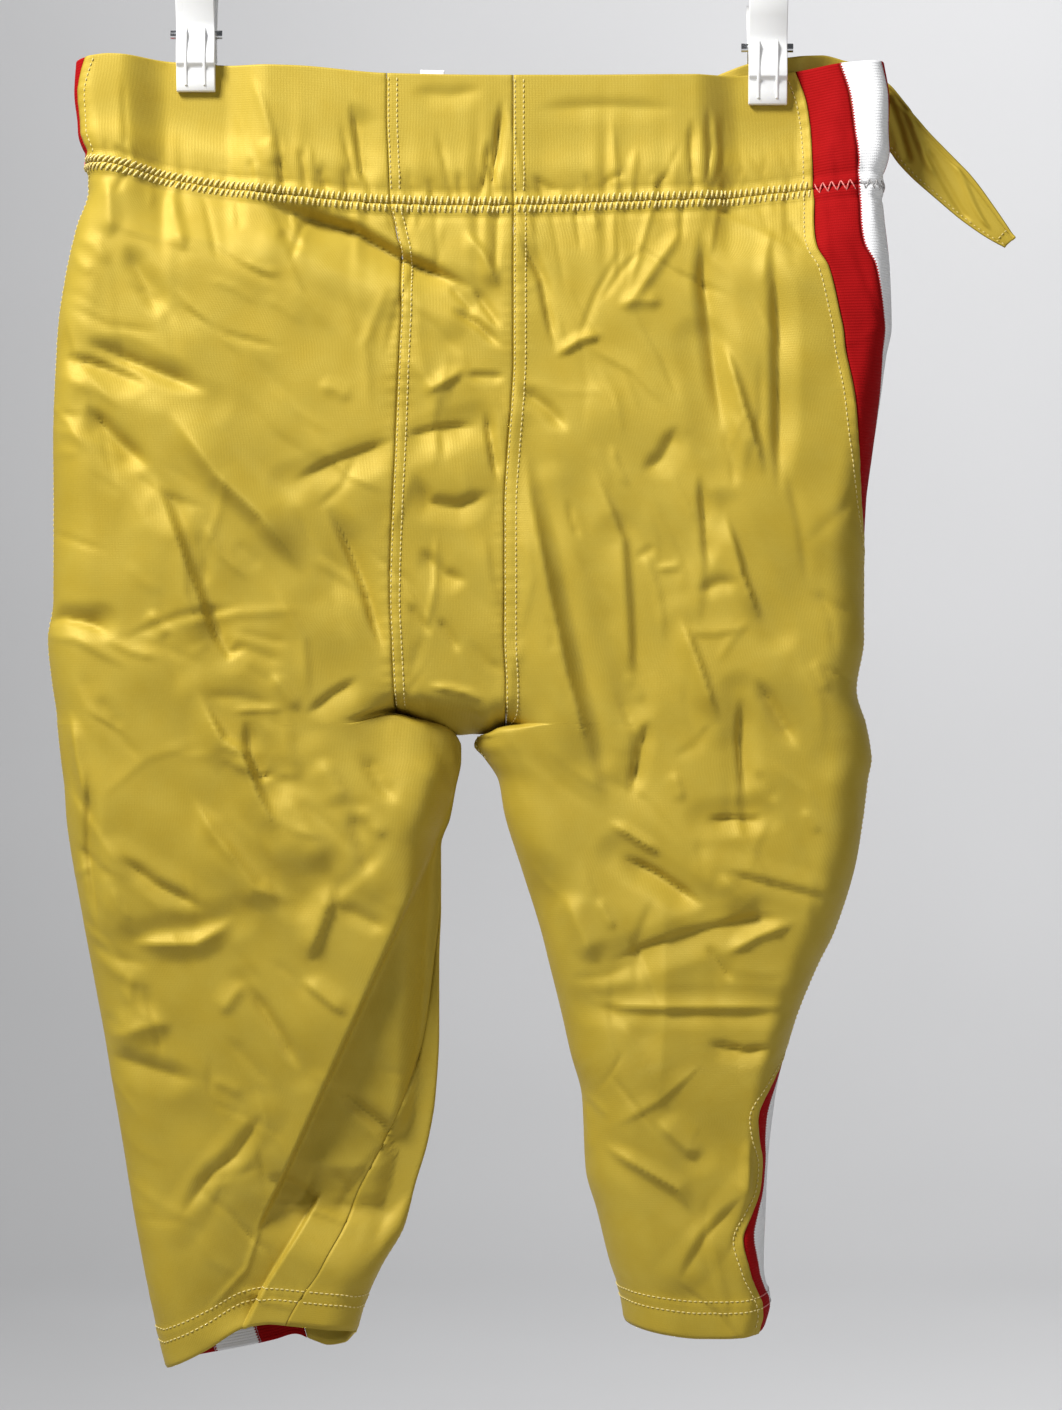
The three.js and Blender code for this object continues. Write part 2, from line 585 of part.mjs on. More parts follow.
// A blank tape sewn inside the back waistband, showing a little above its top edge.
function label() {
  const columns = 3;
  const rows = 5;
  const outer = [];
  const inner = [];
  for (let r = 0; r <= rows; r += 1) {
    const outerRow = [];
    const innerRow = [];
    for (let c = 0; c <= columns; c += 1) {
      const x = lerp(LABEL.from, LABEL.to, c / columns);
      const down = waistTop(x) - LABEL.above + (LABEL.length * r) / rows;
      const bandDrop = clamp(down - waistTop(x), 0, BAND_DEPTH);
      const y = -standOff(LEFT, "near", x, bandDrop) + WALL + 1.3 * SEAM;
      outerRow.push(new THREE.Vector3(x, y, -WAIST_DATUM - down));
      innerRow.push(new THREE.Vector3(x, y + LABEL.thickness, -WAIST_DATUM - down));
    }
    outer.push(outerRow);
    inner.push(innerRow);
  }
  return wall("label", MATERIAL.tape, outer, inner, -1);
}

// ---------------------------------------------------------------------------------------------
// Hanger
// ---------------------------------------------------------------------------------------------

// An outline in Y (forward) and Z, extruded across and centred on x.
function extrudeAcross(name, material, shape, width, x) {
  const geometry = new THREE.ExtrudeGeometry(shape, { depth: width, bevelEnabled: false, curveSegments: 4 });
  geometry.translate(0, 0, -width / 2);
  geometry.applyMatrix4(new THREE.Matrix4().makeBasis(
    new THREE.Vector3(0, 1, 0), new THREE.Vector3(0, 0, 1), new THREE.Vector3(1, 0, 0)));
  geometry.translate(x, 0, 0);
  return named(name, geometry, material);
}

function hangerBar() {
  const { top, height, thickness, half, bossHalf, bossRise } = BAR;
  const round = height / 2;
  const shape = new THREE.Shape();
  shape.moveTo(-half + round, top - height);
  shape.lineTo(half - round, top - height);
  shape.absarc(half - round, top - round, round, -Math.PI / 2, Math.PI / 2, false);
  shape.lineTo(2 * bossHalf, top);
  shape.bezierCurveTo(1.4 * bossHalf, top, bossHalf, top + bossRise, bossHalf / 2, top + bossRise);
  shape.lineTo(-bossHalf / 2, top + bossRise);
  shape.bezierCurveTo(-bossHalf, top + bossRise, -1.4 * bossHalf, top, -2 * bossHalf, top);
  shape.lineTo(-half + round, top);
  shape.absarc(-half + round, top - round, round, Math.PI / 2, (3 * Math.PI) / 2, false);
  const geometry = new THREE.ExtrudeGeometry(shape, { depth: thickness, bevelEnabled: false, curveSegments: 8 });
  geometry.translate(0, 0, -thickness / 2);
  geometry.rotateX(Math.PI / 2);
  return named("hanger_bar", geometry, MATERIAL.plastic);
}

function hangerHook() {
  const { radius, wire, tip, stem } = HOOK;
  const centre = wire - radius;
  const path = new THREE.CurvePath();
  const seat = BAR.top + BAR.bossRise + SEAM;
  const at = (x, z) => new THREE.Vector3(x, 0, z);
  path.add(new THREE.LineCurve3(at(0, seat), at(0, stem)));
  path.add(new THREE.CubicBezierCurve3(at(0, stem), at(0, stem + 13), at(-radius, centre - 13), at(-radius, centre)));
  const kappa = 0.5523 * radius;
  path.add(new THREE.CubicBezierCurve3(
    at(-radius, centre), at(-radius, centre + kappa), at(-kappa, centre + radius), at(0, centre + radius)));
  path.add(new THREE.CubicBezierCurve3(
    at(0, centre + radius), at(kappa, centre + radius), at(radius, centre + kappa), at(radius, centre)));
  path.add(new THREE.LineCurve3(at(radius, centre), at(radius - 1, tip)));
  const shape = new THREE.Shape().absarc(0, 0, wire, 0, 2 * Math.PI, false);
  const geometry = new THREE.ExtrudeGeometry(shape, { steps: 44, curveSegments: 4, bevelEnabled: false, extrudePath: path });
  return named("hanger_hook", geometry, MATERIAL.chrome);
}

// One plate of a clip: jaw below the pin, lever above it. `face` is -1 for the plate in front.
function clipPlate(name, clip, face, pad) {
  const { jaw, lever, pinRadius } = CLIP;
  const round = pinRadius + SEAM;
  const outline = table(["y", "z"], [
    [pad, -jaw], [pad + 2.6, -jaw - 0.4], [pad + 4.2, -jaw + 5], [pad + 5, -18], [pad + 7, -16],
    [pad + 6.4, -8], [round + 4.6, 0], [round + 5.4, 6], [round + 9, 15], [round + 12.4, lever],
    [round + 10.2, lever + 0.5], [round + 6.6, 15], [round + 2.8, 6], [round, 2.5], [round, -2.5],
    [pad + 2.4, -8], [pad + 2.4, -13], [pad, -17],
  ]);
  const shape = new THREE.Shape(outline.map(({ y, z }) => new THREE.Vector2(face * y, clip.pin + z)));
  return extrudeAcross(name, MATERIAL.plastic, shape, CLIP.width, clip.x);
}

// The loop that slides on the bar, with the neck that carries the pin.
function clipLoop(clip) {
  const { top, height, thickness } = BAR;
  const rim = 3;
  const halfOut = thickness / 2 + SEAM + rim;
  const halfIn = thickness / 2 + SEAM;
  const neck = 1.6;
  const foot = clip.pin + CLIP.pinRadius + SEAM;
  const shape = new THREE.Shape([
    [-halfOut, top + rim], [-halfOut, top - height - rim], [-neck, top - height - rim], [-neck, foot],
    [neck, foot], [neck, top - height - rim], [halfOut, top - height - rim], [halfOut, top + rim],
  ].map(([y, z]) => new THREE.Vector2(y, z)));
  const hole = new THREE.Path([
    [-halfIn, top + SEAM], [halfIn, top + SEAM], [halfIn, top - height - SEAM], [-halfIn, top - height - SEAM],
  ].map(([y, z]) => new THREE.Vector2(y, z)));
  shape.holes.push(hole);
  return extrudeAcross(`clip_${clip.side}_loop`, MATERIAL.plastic, shape, CLIP.loopWidth, clip.x);
}

function clipPin(clip) {
  const geometry = new THREE.CylinderGeometry(CLIP.pinRadius, CLIP.pinRadius, CLIP.pinLength, 16);
  geometry.rotateZ(Math.PI / 2);
  geometry.translate(clip.x, 0, clip.pin);
  return named(`clip_${clip.side}_pin`, geometry, MATERIAL.chrome);
}

// ---------------------------------------------------------------------------------------------
// The model
// ---------------------------------------------------------------------------------------------

const model = new THREE.Group();
model.name = "football_pants_on_clip_hanger";
model.add(
  ...halfPieces(LEFT),
  ...halfPieces(RIGHT),
  centrePiece("back_gusset", MATERIAL.gold, COLUMNS.gusset, GUSSET_RUNS),
  centrePiece("fly_placket", MATERIAL.gold, COLUMNS.gusset, FLY_RUNS),
  centrePiece("waistband_back_centre", MATERIAL.gold, COLUMNS.bandCentre, BAND_DROPS),
  centrePiece("waistband_front_centre", MATERIAL.gold, COLUMNS.gusset, BAND_FRONT_RUNS),
  waistTab(),
  label(),
  hangerBar(),
  hangerHook(),
);
for (const clip of CLIPS) {
  model.add(
    clipPlate(`clip_${clip.side}_front`, clip, -1, PINCHED + SEAM),
    clipPlate(`clip_${clip.side}_back`, clip, 1, clip.backPad),
    clipPin(clip),
    clipLoop(clip),
  );
}

export default model;
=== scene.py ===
"""Football pants hung by the waistband from the two spring clips of a hanger.

The cloth is one closed surface a leg: a section at each drop below the waist, rounded at its
sides, with folds and creases that stand off it. Each panel, band and braid is a stretch of that
surface. Tables are in millimetres, the scene is in metres; +Z is up and -Y is towards the viewer,
who sees the back of the pants with the wearer's left at -X.
"""
import logging
import math
from dataclasses import dataclass, field
from enum import Enum

import bpy
import numpy as np
from bpy.types import ID, Material, Node, NodeSocket, NodeTree, Object
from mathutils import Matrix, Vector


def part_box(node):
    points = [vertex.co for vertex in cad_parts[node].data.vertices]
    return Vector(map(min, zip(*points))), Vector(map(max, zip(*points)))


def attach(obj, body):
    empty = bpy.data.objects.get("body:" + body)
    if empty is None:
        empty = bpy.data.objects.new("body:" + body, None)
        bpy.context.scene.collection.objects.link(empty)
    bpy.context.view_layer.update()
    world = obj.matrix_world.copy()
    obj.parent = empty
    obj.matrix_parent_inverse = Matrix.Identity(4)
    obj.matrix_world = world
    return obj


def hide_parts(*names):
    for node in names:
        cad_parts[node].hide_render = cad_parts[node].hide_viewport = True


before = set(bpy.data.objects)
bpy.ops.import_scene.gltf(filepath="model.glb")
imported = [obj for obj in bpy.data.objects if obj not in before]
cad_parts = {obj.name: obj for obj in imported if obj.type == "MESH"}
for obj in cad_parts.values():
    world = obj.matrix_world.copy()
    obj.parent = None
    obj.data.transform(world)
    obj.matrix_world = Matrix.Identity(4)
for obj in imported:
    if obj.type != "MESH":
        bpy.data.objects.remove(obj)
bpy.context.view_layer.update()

LOG = logging.getLogger("football_pants")
Array = np.ndarray

MM = 0.001
WALL = 1.3
STRIPE = 25.0

# Depth of the waistband's datum below the origin, and drops below that datum.
WAIST_DATUM = 140.4
BAND_DEPTH = 66.0
GUSSET_FRONT = 312.0
CROTCH = 353.0
CROTCH_TURN = 16.0
HEM = 682.0

# Where the two layers meet, in depth on each side of the middle.
LAYER_EDGE = 5.0

# The clips: how near the middle they press each layer, where they are, and how far they are felt.
PINCHED = 2.0
CLIP_SPREAD = 154.0
PINCH_FLAT = 15.0
PINCH_REACH = 40.0
PINCH_DEPTH = 24.0
PINCH_FADE = 120.0

# How strongly folds and creases show, and how much a crease's shaded flank is drawn in.
SEAM_STIFFNESS = 0.6
FOLD_SHARE = 0.35
CREASE_SHARE = 1.4
PLEAT_SHARE = 1.1
SHADED = 0.62
NARROWEST = 2.6

# Gathers of the elastic, on both sides of the waistband's seam.
GATHER_COUNT = 20
GATHER_HEIGHT = 0.8
GATHER_REACH = 34.0

# Extra cloth beside the gusset: how far across it reaches, and the drops over which it ends.
TUCK_LINE = 55.0
TUCK_FADE = (430.0, 540.0)

# Top edge of the waistband and its seam: x, top, seam.
WAIST_LINE = (
    (-219, -4, 51), (-200, -7, 53), (-166, -4, 61), (-134, -2, 66), (-98, -1, 70),
    (-51, 3, 74), (0, 4, 75), (79, 4, 73), (119, 4, 72), (159, 2, 68), (194, -2, 65), (217, -4, 64),
)

# Outline of each half: drop, outer silhouette, inner edge.
LEFT_OUTLINE = (
    (0, -219, -51), (20, -220, -51), (45, -217, -50), (66, -213, -49), (80, -212, -46),
    (97, -218, -43), (124, -225, -43), (151, -229, -44), (205, -231, -46), (286, -231, -49),
    (308, -234, -48), (329, -232, -47), (353, -229, -46), (353.4, -229, -38), (354, -228.9, -28),
    (355, -228.8, -19), (357, -228.6, -13), (362, -228.1, -11), (372, -227, -11), (388, -225, -14),
    (404, -224, -17), (419, -222, -22), (452, -216, -22), (481, -211, -23), (518, -204, -23),
    (554, -198, -25), (578, -194, -29), (602, -190, -36), (625, -185, -42), (646, -180, -54),
    (668, -174, -64), (682, -170, -68),
)
RIGHT_OUTLINE = (
    (0, 217, 17), (20, 220, 17), (45, 219, 17), (66, 216, 17), (80, 217, 17), (109, 220, 17),
    (140, 221, 17), (156, 218, 17), (178, 215, 16), (205, 211, 14), (238, 207, 12), (271, 206, 12),
    (307, 206, 12), (335, 202, 13), (353, 207, 13), (353.4, 207.1, 9), (354, 207.2, 5),
    (355, 207.4, 0), (357, 207.8, -3), (362, 208.8, -4), (372, 210, 2), (384, 208, 9), (401, 206, 12),
    (430, 201, 21), (465, 190, 32), (481, 182, 36), (509, 170, 43), (531, 163, 48), (554, 158, 54),
    (593, 154, 56), (617, 153, 62), (649, 152, 69), (669, 155, 75), (682, 152, 77),
)

# How far the layers stand off the middle: drop, left middle, left side, right middle, right side.
DEPTHS = (
    (0, 9, 12, 9, 12), (66, 13, 19, 13, 19), (110, 18, 26, 18, 27), (200, 24, 31, 24, 31),
    (300, 26, 33, 26, 34), (353, 26, 34, 26, 36), (420, 30, 34, 30, 38), (500, 30, 29, 36, 38),
    (600, 23, 23, 36, 36), (682, 19, 19, 34, 34),
)

# Width of a section's round sides: drop, left outer, left inner, right outer, right inner.
ROUNDING = (
    (0, 12, 24, 9, 24), (66, 14, 24, 10, 24), (110, 20, 26, 13, 24), (353, 28, 28, 24, 26),
    (450, 26, 26, 24, 28), (540, 24, 24, 16, 28), (682, 20, 18, 16, 30),
)

# Where the braids start: drop, inset from the silhouette, wrap round the side.
LEFT_BRAID = (
    (0, 6.5, 0), (8, 4.6, 0), (22, 3, 0), (45, 2.4, 0), (58, 2.8, 0), (66, 0.6, 0), (80, 0, 1.5),
    (110, 0, 3), (353, 0, 5), (682, 0, 10),
)
RIGHT_BRAID = (
    (0, 48, 0), (38, 42, 0), (66, 38, 0), (98, 40, 0), (110, 35, 0), (140, 29, 0), (173, 18, 0),
    (205, 10, 0), (241, 3, 0), (271, 0, 0), (320, 0, 4), (465, 0, 4), (505, 0, 2), (528, 0.6, 0),
    (541, 4, 0), (560, 10, 0), (573, 8, 0), (588, 4.5, 0), (600, 5, 0), (613, 9, 0), (627, 13.5, 0),
    (645, 9.5, 0), (662, 6, 0), (682, 4.5, 0),
)

# How much of the right braid the gold's edge hides where it rolls over: drop, width.
RIGHT_ROLL = ((440, 0), (500, 5), (535, 13), (560, 16), (590, 19), (613, 19), (640, 16), (662, 12), (682, 3))

# How far round the leg the inseam has turned onto the back: drop, left, right.
INSEAM = ((353, 0, 0), (400, 0, 0), (520, 14, -2), (600, 32, -4), (682, 48, -5))

# The hems hang uneven: x, near layer's edge, far layer's edge.
LEFT_HEM = (
    (-170, 700, 700), (-147, 688, 696), (-126, 676, 692), (-113, 674, 689), (-102, 675, 686),
    (-93, 676, 689), (-84, 677, 692), (-75, 678, 690), (-68, 680, 682),
)
RIGHT_HEM = (
    (77, 674, 674), (98, 677, 675), (116, 679, 675), (131, 679, 676), (152, 677, 677),
)

# Broad folds of the back: x1, drop1, x2, drop2, height, width.
BACK_FOLDS = (
    (-113, 75, -3, 121, -7, 17), (-108, 96, -20, 134, 4, 15),
    (-226, 156, -144, 183, -4, 14), (-211, 183, -166, 241, -6, 14), (-166, 241, -134, 315, -6, 14),
    (-166, 186, -94, 274, 4, 17), (-102, 225, -2, 192, -5, 14), (-83, 235, -51, 320, -4, 13),
    (-240, 297, -202, 299, -9, 12), (-134, 316, -125, 369, 4, 14), (-150, 336, -106, 416, 5, 15),
    (-106, 381, -77, 435, -5, 13), (-87, 368, -58, 438, 4, 13), (-137, 415, -98, 448, -5, 13),
    (-185, 469, -130, 455, -5, 14), (-193, 424, -145, 452, 4, 14), (-125, 492, -96, 538, -4, 13),
    (-115, 560, -161, 616, 5, 14), (-116, 594, -57, 614, -4, 13),
    (23, 197, 58, 369, -5, 15), (38, 225, 72, 373, 4, 14), (72, 252, 82, 341, -5, 14),
    (116, 146, 127, 215, -5, 16), (129, 239, 157, 305, -6, 13), (105, 296, 127, 354, 4, 14),
    (137, 336, 139, 395, -6, 13), (119, 404, 150, 400, -5, 13), (73, 422, 119, 450, -7, 14),
    (123, 430, 190, 447, 5, 14), (64, 481, 145, 455, -6, 14), (184, 372, 214, 372, -3, 13),
    (50, 502, 160, 503, -6, 13), (89, 520, 113, 580, -6, 15), (144, 597, 104, 649, 5, 14),
    (69, 578, 114, 616, -4, 13),
)
FRONT_FOLDS = (
    (-190, 110, -90, 190, -5, 20), (180, 120, 80, 205, -5, 20), (-120, 240, -60, 320, -5, 18),
    (110, 250, 40, 330, 5, 18), (-170, 330, -90, 400, -6, 18), (80, 350, 160, 410, -6, 18),
    (-110, 450, -170, 520, 5, 18), (70, 470, 140, 530, -5, 18), (-140, 580, -80, 640, -4, 16),
    (90, 590, 140, 650, 4, 16),
)

# Folds that lie over: x1, drop1, x2, drop2, height, reach, side (+1 right, -1 left).
BACK_STEPS = ((-23, 412, -119, 622, 14, 62, 1), (-87, 609, -127, 684, 9, 45, -1))

# Creases: height (+ ridge, - trough), width of the side above or to the right, width of the side
# below or to the left, then x and drop of each point of its line, from left to right.
BACK_CREASES = (
    (-4, 14, 3, -238, 299, -222, 297, -208, 300, -196, 306),
    (-9, 3, 44, -75, 350, -46, 352, -10, 357, 14, 361),
    (-10, 24, 26, -17, 352, -20, 400, -25, 470, -30, 560, -60, 640),
    (-4, 18, 8, -211, 148, -179, 163, -144, 177), (5, 30, 9, -166, 186, -140, 221, -116, 243, -94, 274),
    (-3.5, 10, 14, -211, 183, -193, 202, -175, 218),
    (5, 9, 30, -175, 218, -166, 241, -153, 278, -142, 307, -134, 316),
    (-1.7, 6, 14, -102, 225, -82, 214, -51, 203, -44, 200), (-1.6, 5, 12, -43, 200, -23, 195, -1, 193),
    (-4, 14, 7, -83, 235, -72, 256, -62, 281, -51, 320), (-3, 8, 12, -226, 156, -201, 163, -174, 174),
    (2.5, 10, 6, -112, 325, -96, 347), (-1.8, 6, 12, -94, 349, -79, 337, -64, 328),
    (4, 7, 16, -151, 334, -137, 362, -126, 368, -119, 389, -105, 416),
    (-4, 8, 6, -125, 349, -123, 370, -117, 381, -105, 379), (7, 22, 25, -106, 382, -94, 406, -80, 433),
    (-4, 12, 12, -69, 397, -64, 417, -58, 437), (3, 12, 5, -68, 397, -58, 406, -50, 415),
    (3.5, 12, 6, -93, 481, -83, 455, -77, 435), (-4, 12, 8, -77, 449, -63, 456, -49, 463),
    (3.5, 8, 16, -187, 470, -151, 469, -138, 462, -130, 455),
    (-3, 10, 9, -193, 422, -173, 438, -145, 452),
    (3, 14, 12, -152, 394, -145, 404, -120, 440, -98, 448), (-3, 8, 8, -208, 375, -209, 421, -203, 467),
    (3, 12, 6, -219, 345, -214, 373, -207, 401), (-3, 8, 8, -64, 368, -54, 386, -44, 396),
    (3, 10, 16, -86, 370, -78, 383, -71, 397), (-3, 9, 6, -149, 286, -140, 308, -134, 316, -124, 312),
    (2, 6, 8, -177, 292, -164, 307), (-2.5, 6, 8, -125, 490, -107, 518, -96, 539),
    (2, 10, 6, -96, 488, -70, 509), (-2.6, 12, 8, -161, 617, -144, 593, -131, 583, -115, 559),
    (-2, 12, 6, -116, 594, -99, 603, -87, 610), (-1.6, 9, 12, -87, 611, -65, 613, -40, 611),
    (-3, 9, 10, -82, 543, -70, 555, -52, 570, -43, 590), (1.4, 16, 14, -99, 586, -76, 590, -43, 593),
    (2.5, 14, 18, -201, 521, -179, 514, -163, 512), (-2.5, 14, 14, -202, 529, -179, 535, -150, 544),
    (2, 10, 10, -139, 508, -131, 497, -125, 490),
    (7, 17, 25, 23, 199, 26, 232, 36, 283, 45, 325, 58, 372, 66, 401),
    (3, 8, 14, 58, 213, 65, 230, 75, 256, 77, 287, 80, 338), (-4, 9, 8, 19, 172, 36, 185, 47, 198),
    (-2.5, 6, 6, 19, 88, 32, 115, 40, 156), (2, 6, 6, 39, 157, 53, 148, 66, 145),
    (-4, 16, 12, 117, 86, 119, 124, 126, 178, 128, 199), (3.5, 8, 12, 128, 146, 139, 184, 151, 223),
    (-4, 12, 10, 155, 94, 158, 140, 158, 234), (-3, 8, 6, 116, 219, 119, 248, 120, 274),
    (3, 6, 9, 129, 239, 138, 274, 149, 301), (-4, 10, 8, 114, 284, 126, 278, 138, 278),
    (-2, 5, 5, 82, 265, 93, 258), (1.5, 4, 5, 92, 271, 107, 269),
    (-2.4, 10, 12, 85, 220, 96, 211, 105, 194), (3, 7, 10, 105, 294, 116, 324, 126, 354),
    (-2.4, 9, 5, 138, 336, 137, 362, 140, 395), (-3, 6, 12, 145, 328, 154, 342, 168, 367),
    (-2.5, 8, 6, 89, 349, 84, 370, 79, 393), (2, 4, 7, 102, 377, 108, 395),
    (-3, 5, 10, 118, 404, 131, 403, 144, 404, 150, 400), (3.5, 5, 6, 67, 404, 83, 414, 97, 423),
    (-6, 7, 12, 73, 422, 94, 433, 119, 450), (-2, 6, 16, 123, 430, 154, 438, 190, 447),
    (2.5, 14, 10, 125, 431, 137, 444, 146, 455),
    (-2, 6, 16, 64, 481, 92, 469, 112, 463, 146, 455, 167, 456), (-2.5, 5, 5, 118, 469, 134, 491),
    (2, 8, 6, 129, 475, 147, 465, 167, 458), (2, 4, 5, 170, 397, 180, 411),
    (-3, 5, 8, 145, 377, 157, 395), (4, 20, 10, 42, 441, 55, 467, 60, 481),
    (1.5, 4, 5, 62, 444, 72, 463), (1.6, 24, 16, 97, 438, 97, 502, 94, 563),
    (2.5, 10, 7, 54, 499, 77, 503, 118, 503, 159, 503, 169, 505),
    (3, 14, 8, 92, 562, 110, 579, 120, 580), (2.5, 8, 8, 63, 576, 85, 588, 104, 599, 113, 614),
    (-1.8, 8, 12, 104, 649, 118, 626, 140, 602), (1.5, 6, 6, 142, 571, 142, 609),
    (2, 8, 5, 56, 554, 57, 586), (1.5, 8, 8, 75, 133, 85, 121, 109, 86), (-4, 7, 8, 165, 83, 173, 99),
    (2.5, 8, 10, 72, 130, 85, 127, 98, 128), (-3, 6, 10, 118, 521, 139, 526, 156, 524),
    (-7, 9, 14, -119, 74, -69, 88, -42, 104, -16, 115, -1, 121), (-3, 5, 8, -109, 88, -94, 99),
    (2.5, 8, 8, -9, 88, 2, 104, 10, 121), (-2.5, 6, 6, -18, 117, -9, 127, -3, 136),
    (2.5, 8, 9, -166, 66, -162, 84, -158, 103), (-2.5, 12, 12, -190, 97, -179, 119, -171, 139),
    (2, 12, 10, -200, 60, -198, 78, -197, 95), (2.5, 8, 6, -31, 177, -18, 170, -8, 163),
    (-2.5, 5, 6, -10, 167, 3, 167, 14, 168), (-3, 6, 5, 2, 185, 7, 215, 9, 225),
    (-2.6, 10, 12, -35, 219, -28, 235, -12, 237, 7, 229), (-2, 9, 10, -33, 259, -20, 273, -6, 278),
    (-1.5, 5, 5, -40, 288, -26, 307), (-1.5, 5, 5, -24, 296, -11, 316),
    (-2.5, 6, 5, -17, 130, -1, 140, 12, 153), (-2, 5, 5, -5, 119, 11, 143),
    (1.5, 5, 5, -30, 334, -15, 336, 3, 340),
)
BAND_CREASES = (
    (-3.5, 16, 3, -71, 18, -68, 32, -64, 69), (-3.5, 5, 4, 11, 16, 8, 43, 4, 72),
    (-3, 5, 4, 4, 38, 2, 57, -1, 73), (1.2, 6, 5, -125, 2, -117, 22, -109, 48),
    (1.0, 5, 5, -142, 1, -135, 19, -127, 39), (-1.6, 4, 4, -178, 48, -172, 57),
    (-1.8, 4, 4, -154, 51, -150, 63), (-1.6, 4, 4, -197, 43, -187, 54),
    (-1.8, 5, 4, -140, 55, -135, 65), (-2.2, 5, 5, -125, 49, -122, 65),
    (-2.2, 6, 5, -111, 46, -104, 68), (-1.8, 4, 4, -89, 54, -82, 69), (-1.4, 5, 5, -98, 43, -94, 65),
    (1.5, 8, 8, -116, 38, -108, 54), (-2.0, 5, 5, 113, 27, 112, 49, 114, 68),
    (-1.8, 4, 4, 121, 19, 123, 43, 119, 66), (-1.8, 4, 4, 130, 22, 130, 43, 126, 64),
    (1.4, 5, 5, 125, 22, 126, 43, 123, 65), (-1.6, 4, 4, 138, 30, 140, 54, 137, 65),
    (-1.6, 4, 4, 148, 27, 153, 49, 150, 63), (-1.6, 4, 4, 157, 30, 162, 49, 164, 60),
    (-2.5, 4, 3, 164, 16, 168, 38, 170, 63), (-1.5, 5, 5, 26, 59, 42, 68), (-1.5, 5, 5, 64, 64, 77, 57),
    (-1.4, 4, 4, 91, 68, 100, 57), (-1.2, 10, 10, 26, 23, 64, 21, 107, 23),
    (-1.2, 10, 10, -39, 14, -17, 15, 2, 12),
)

FRONT_CREASES = (
    (-4, 8, 14, -205, 96, -160, 128, -96, 150), (3, 14, 7, -188, 168, -140, 214, -112, 262),
    (-3, 9, 6, -150, 250, -118, 300, -96, 352), (4, 8, 18, -198, 300, -170, 352, -160, 402),
    (-4, 7, 12, -196, 452, -150, 440, -96, 448), (3, 12, 8, -180, 520, -140, 552, -116, 598),
    (-2.5, 8, 8, -150, 610, -112, 622, -82, 616), (-4, 12, 8, 60, 150, 112, 122, 176, 104),
    (3, 7, 14, 52, 190, 70, 262, 84, 330), (-3, 8, 9, 112, 180, 122, 236, 130, 300),
    (3, 9, 12, 84, 360, 122, 392, 160, 398), (-4, 8, 12, 70, 430, 116, 452, 152, 448),
    (3, 8, 10, 80, 498, 112, 540, 140, 556), (-3, 7, 9, 84, 600, 110, 584, 142, 590),
)

# Where the gusset turns under, its near edge hangs uneven: x, sag. Its underside sags evenly.
CROTCH_LIP = ((-70, 0), (-46, -6), (-35, -3.8), (-27, -3), (-7, -1), (4, 2.3), (9, 0.5), (30, 0))
CROTCH_UNDER = 7.0

# The white braid of the front shows above the waistband: x, rise.
FAR_TOP = ((-216, 0), (-209, 2.4), (-203, 3.6), (-196, 2.6), (-186, 0))

# Small creases scattered over each layer. Leans are in radians from straight down.
SMALL_CREASES = {
    "count": 320, "across": (-232, 222), "down": (84, 672), "length": (20.0, 74.0),
    "height": (0.3, 1.3), "width": (2.2, 10.0), "bow": (-0.12, 0.12), "right_of": -50, "left_lean": 0.85,
    "right_lean": 0.3, "lean_spread": 0.35, "stray_share": 0.25, "stray_lean": (-1.5, 1.5),
}

# Short pleats that run from the waistband's seam: way (1 down, -1 up), longest, gap's share.
PLEAT_ROWS = ((1, 30, 1.8), (-1, 34, 1.0))
PLEATS = {
    "first": -206.0, "last": 208.0, "gap": (3.5, 11), "shortest": 7, "long_share": 0.2, "longer": 0.8,
    "lean": (0.12, 0.22), "height": (0.4, 1.3), "trough": -1.2, "width": (2.4, 6.0),
}

# Rings of a stitch: share of its length, share of its radius, lift in radii.
STITCH_RINGS = (
    (0.0, 0.35, -0.35), (0.16, 0.85, 0.3), (0.5, 1.0, 0.75), (0.84, 0.85, 0.3), (1.0, 0.35, -0.35),
)

# The closing strap's two edges where it hangs free, a row for each station:
# top x, top drop, top y, foot x, foot drop, foot y.
STRAP_FREE = (
    (213, 0, 17, 209, 35, 19), (221, 5, 16, 216, 37, 18), (231, 17, 15, 222, 40, 16),
    (241, 30, 13, 227, 47, 14), (252, 42, 11, 234, 55, 12), (265, 56, 9, 246, 66, 10),
    (277, 73, 7, 261, 79, 8), (286, 87, 5, 275, 89, 6), (288, 90, 4, 284, 94, 5),
)


class Slot(Enum):
    """Material slots."""

    GOLD = "gold_knit"
    RED = "red_braid"
    WHITE = "white_braid"
    TAPE = "white_tape"
    PLASTIC = "white_plastic"
    CHROME = "chrome_wire"


class Layer(Enum):
    """The two layers of the pants: the near one is the back, the far one is the front."""

    NEAR = "near"
    FAR = "far"


# --- Small mathematics ---


def smooth(low: float, high: float, value: Array) -> Array:
    """Eases from 0 at low to 1 at high."""
    t = np.clip((value - low) / (high - low), 0, 1)
    return t * t * (3 - 2 * t)


def mix(a: Array, b: Array, share: Array) -> Array:
    """The value a share of the way from a to b."""
    return a + (b - a) * share


def bell(distance: Array, width: float) -> Array:
    """A soft bump that is 1 at no distance."""
    return np.exp(-((distance / width) ** 2))


def drop_of(points: Array) -> Array:
    """How far points in millimetres lie below the waistband's datum."""
    return -points[..., 2] - WAIST_DATUM


def nearness(points: Array) -> Array:
    """1 on the near layer and 0 on the far one, blended where they meet."""
    return smooth(LAYER_EDGE, -LAYER_EDGE, points[..., 1])


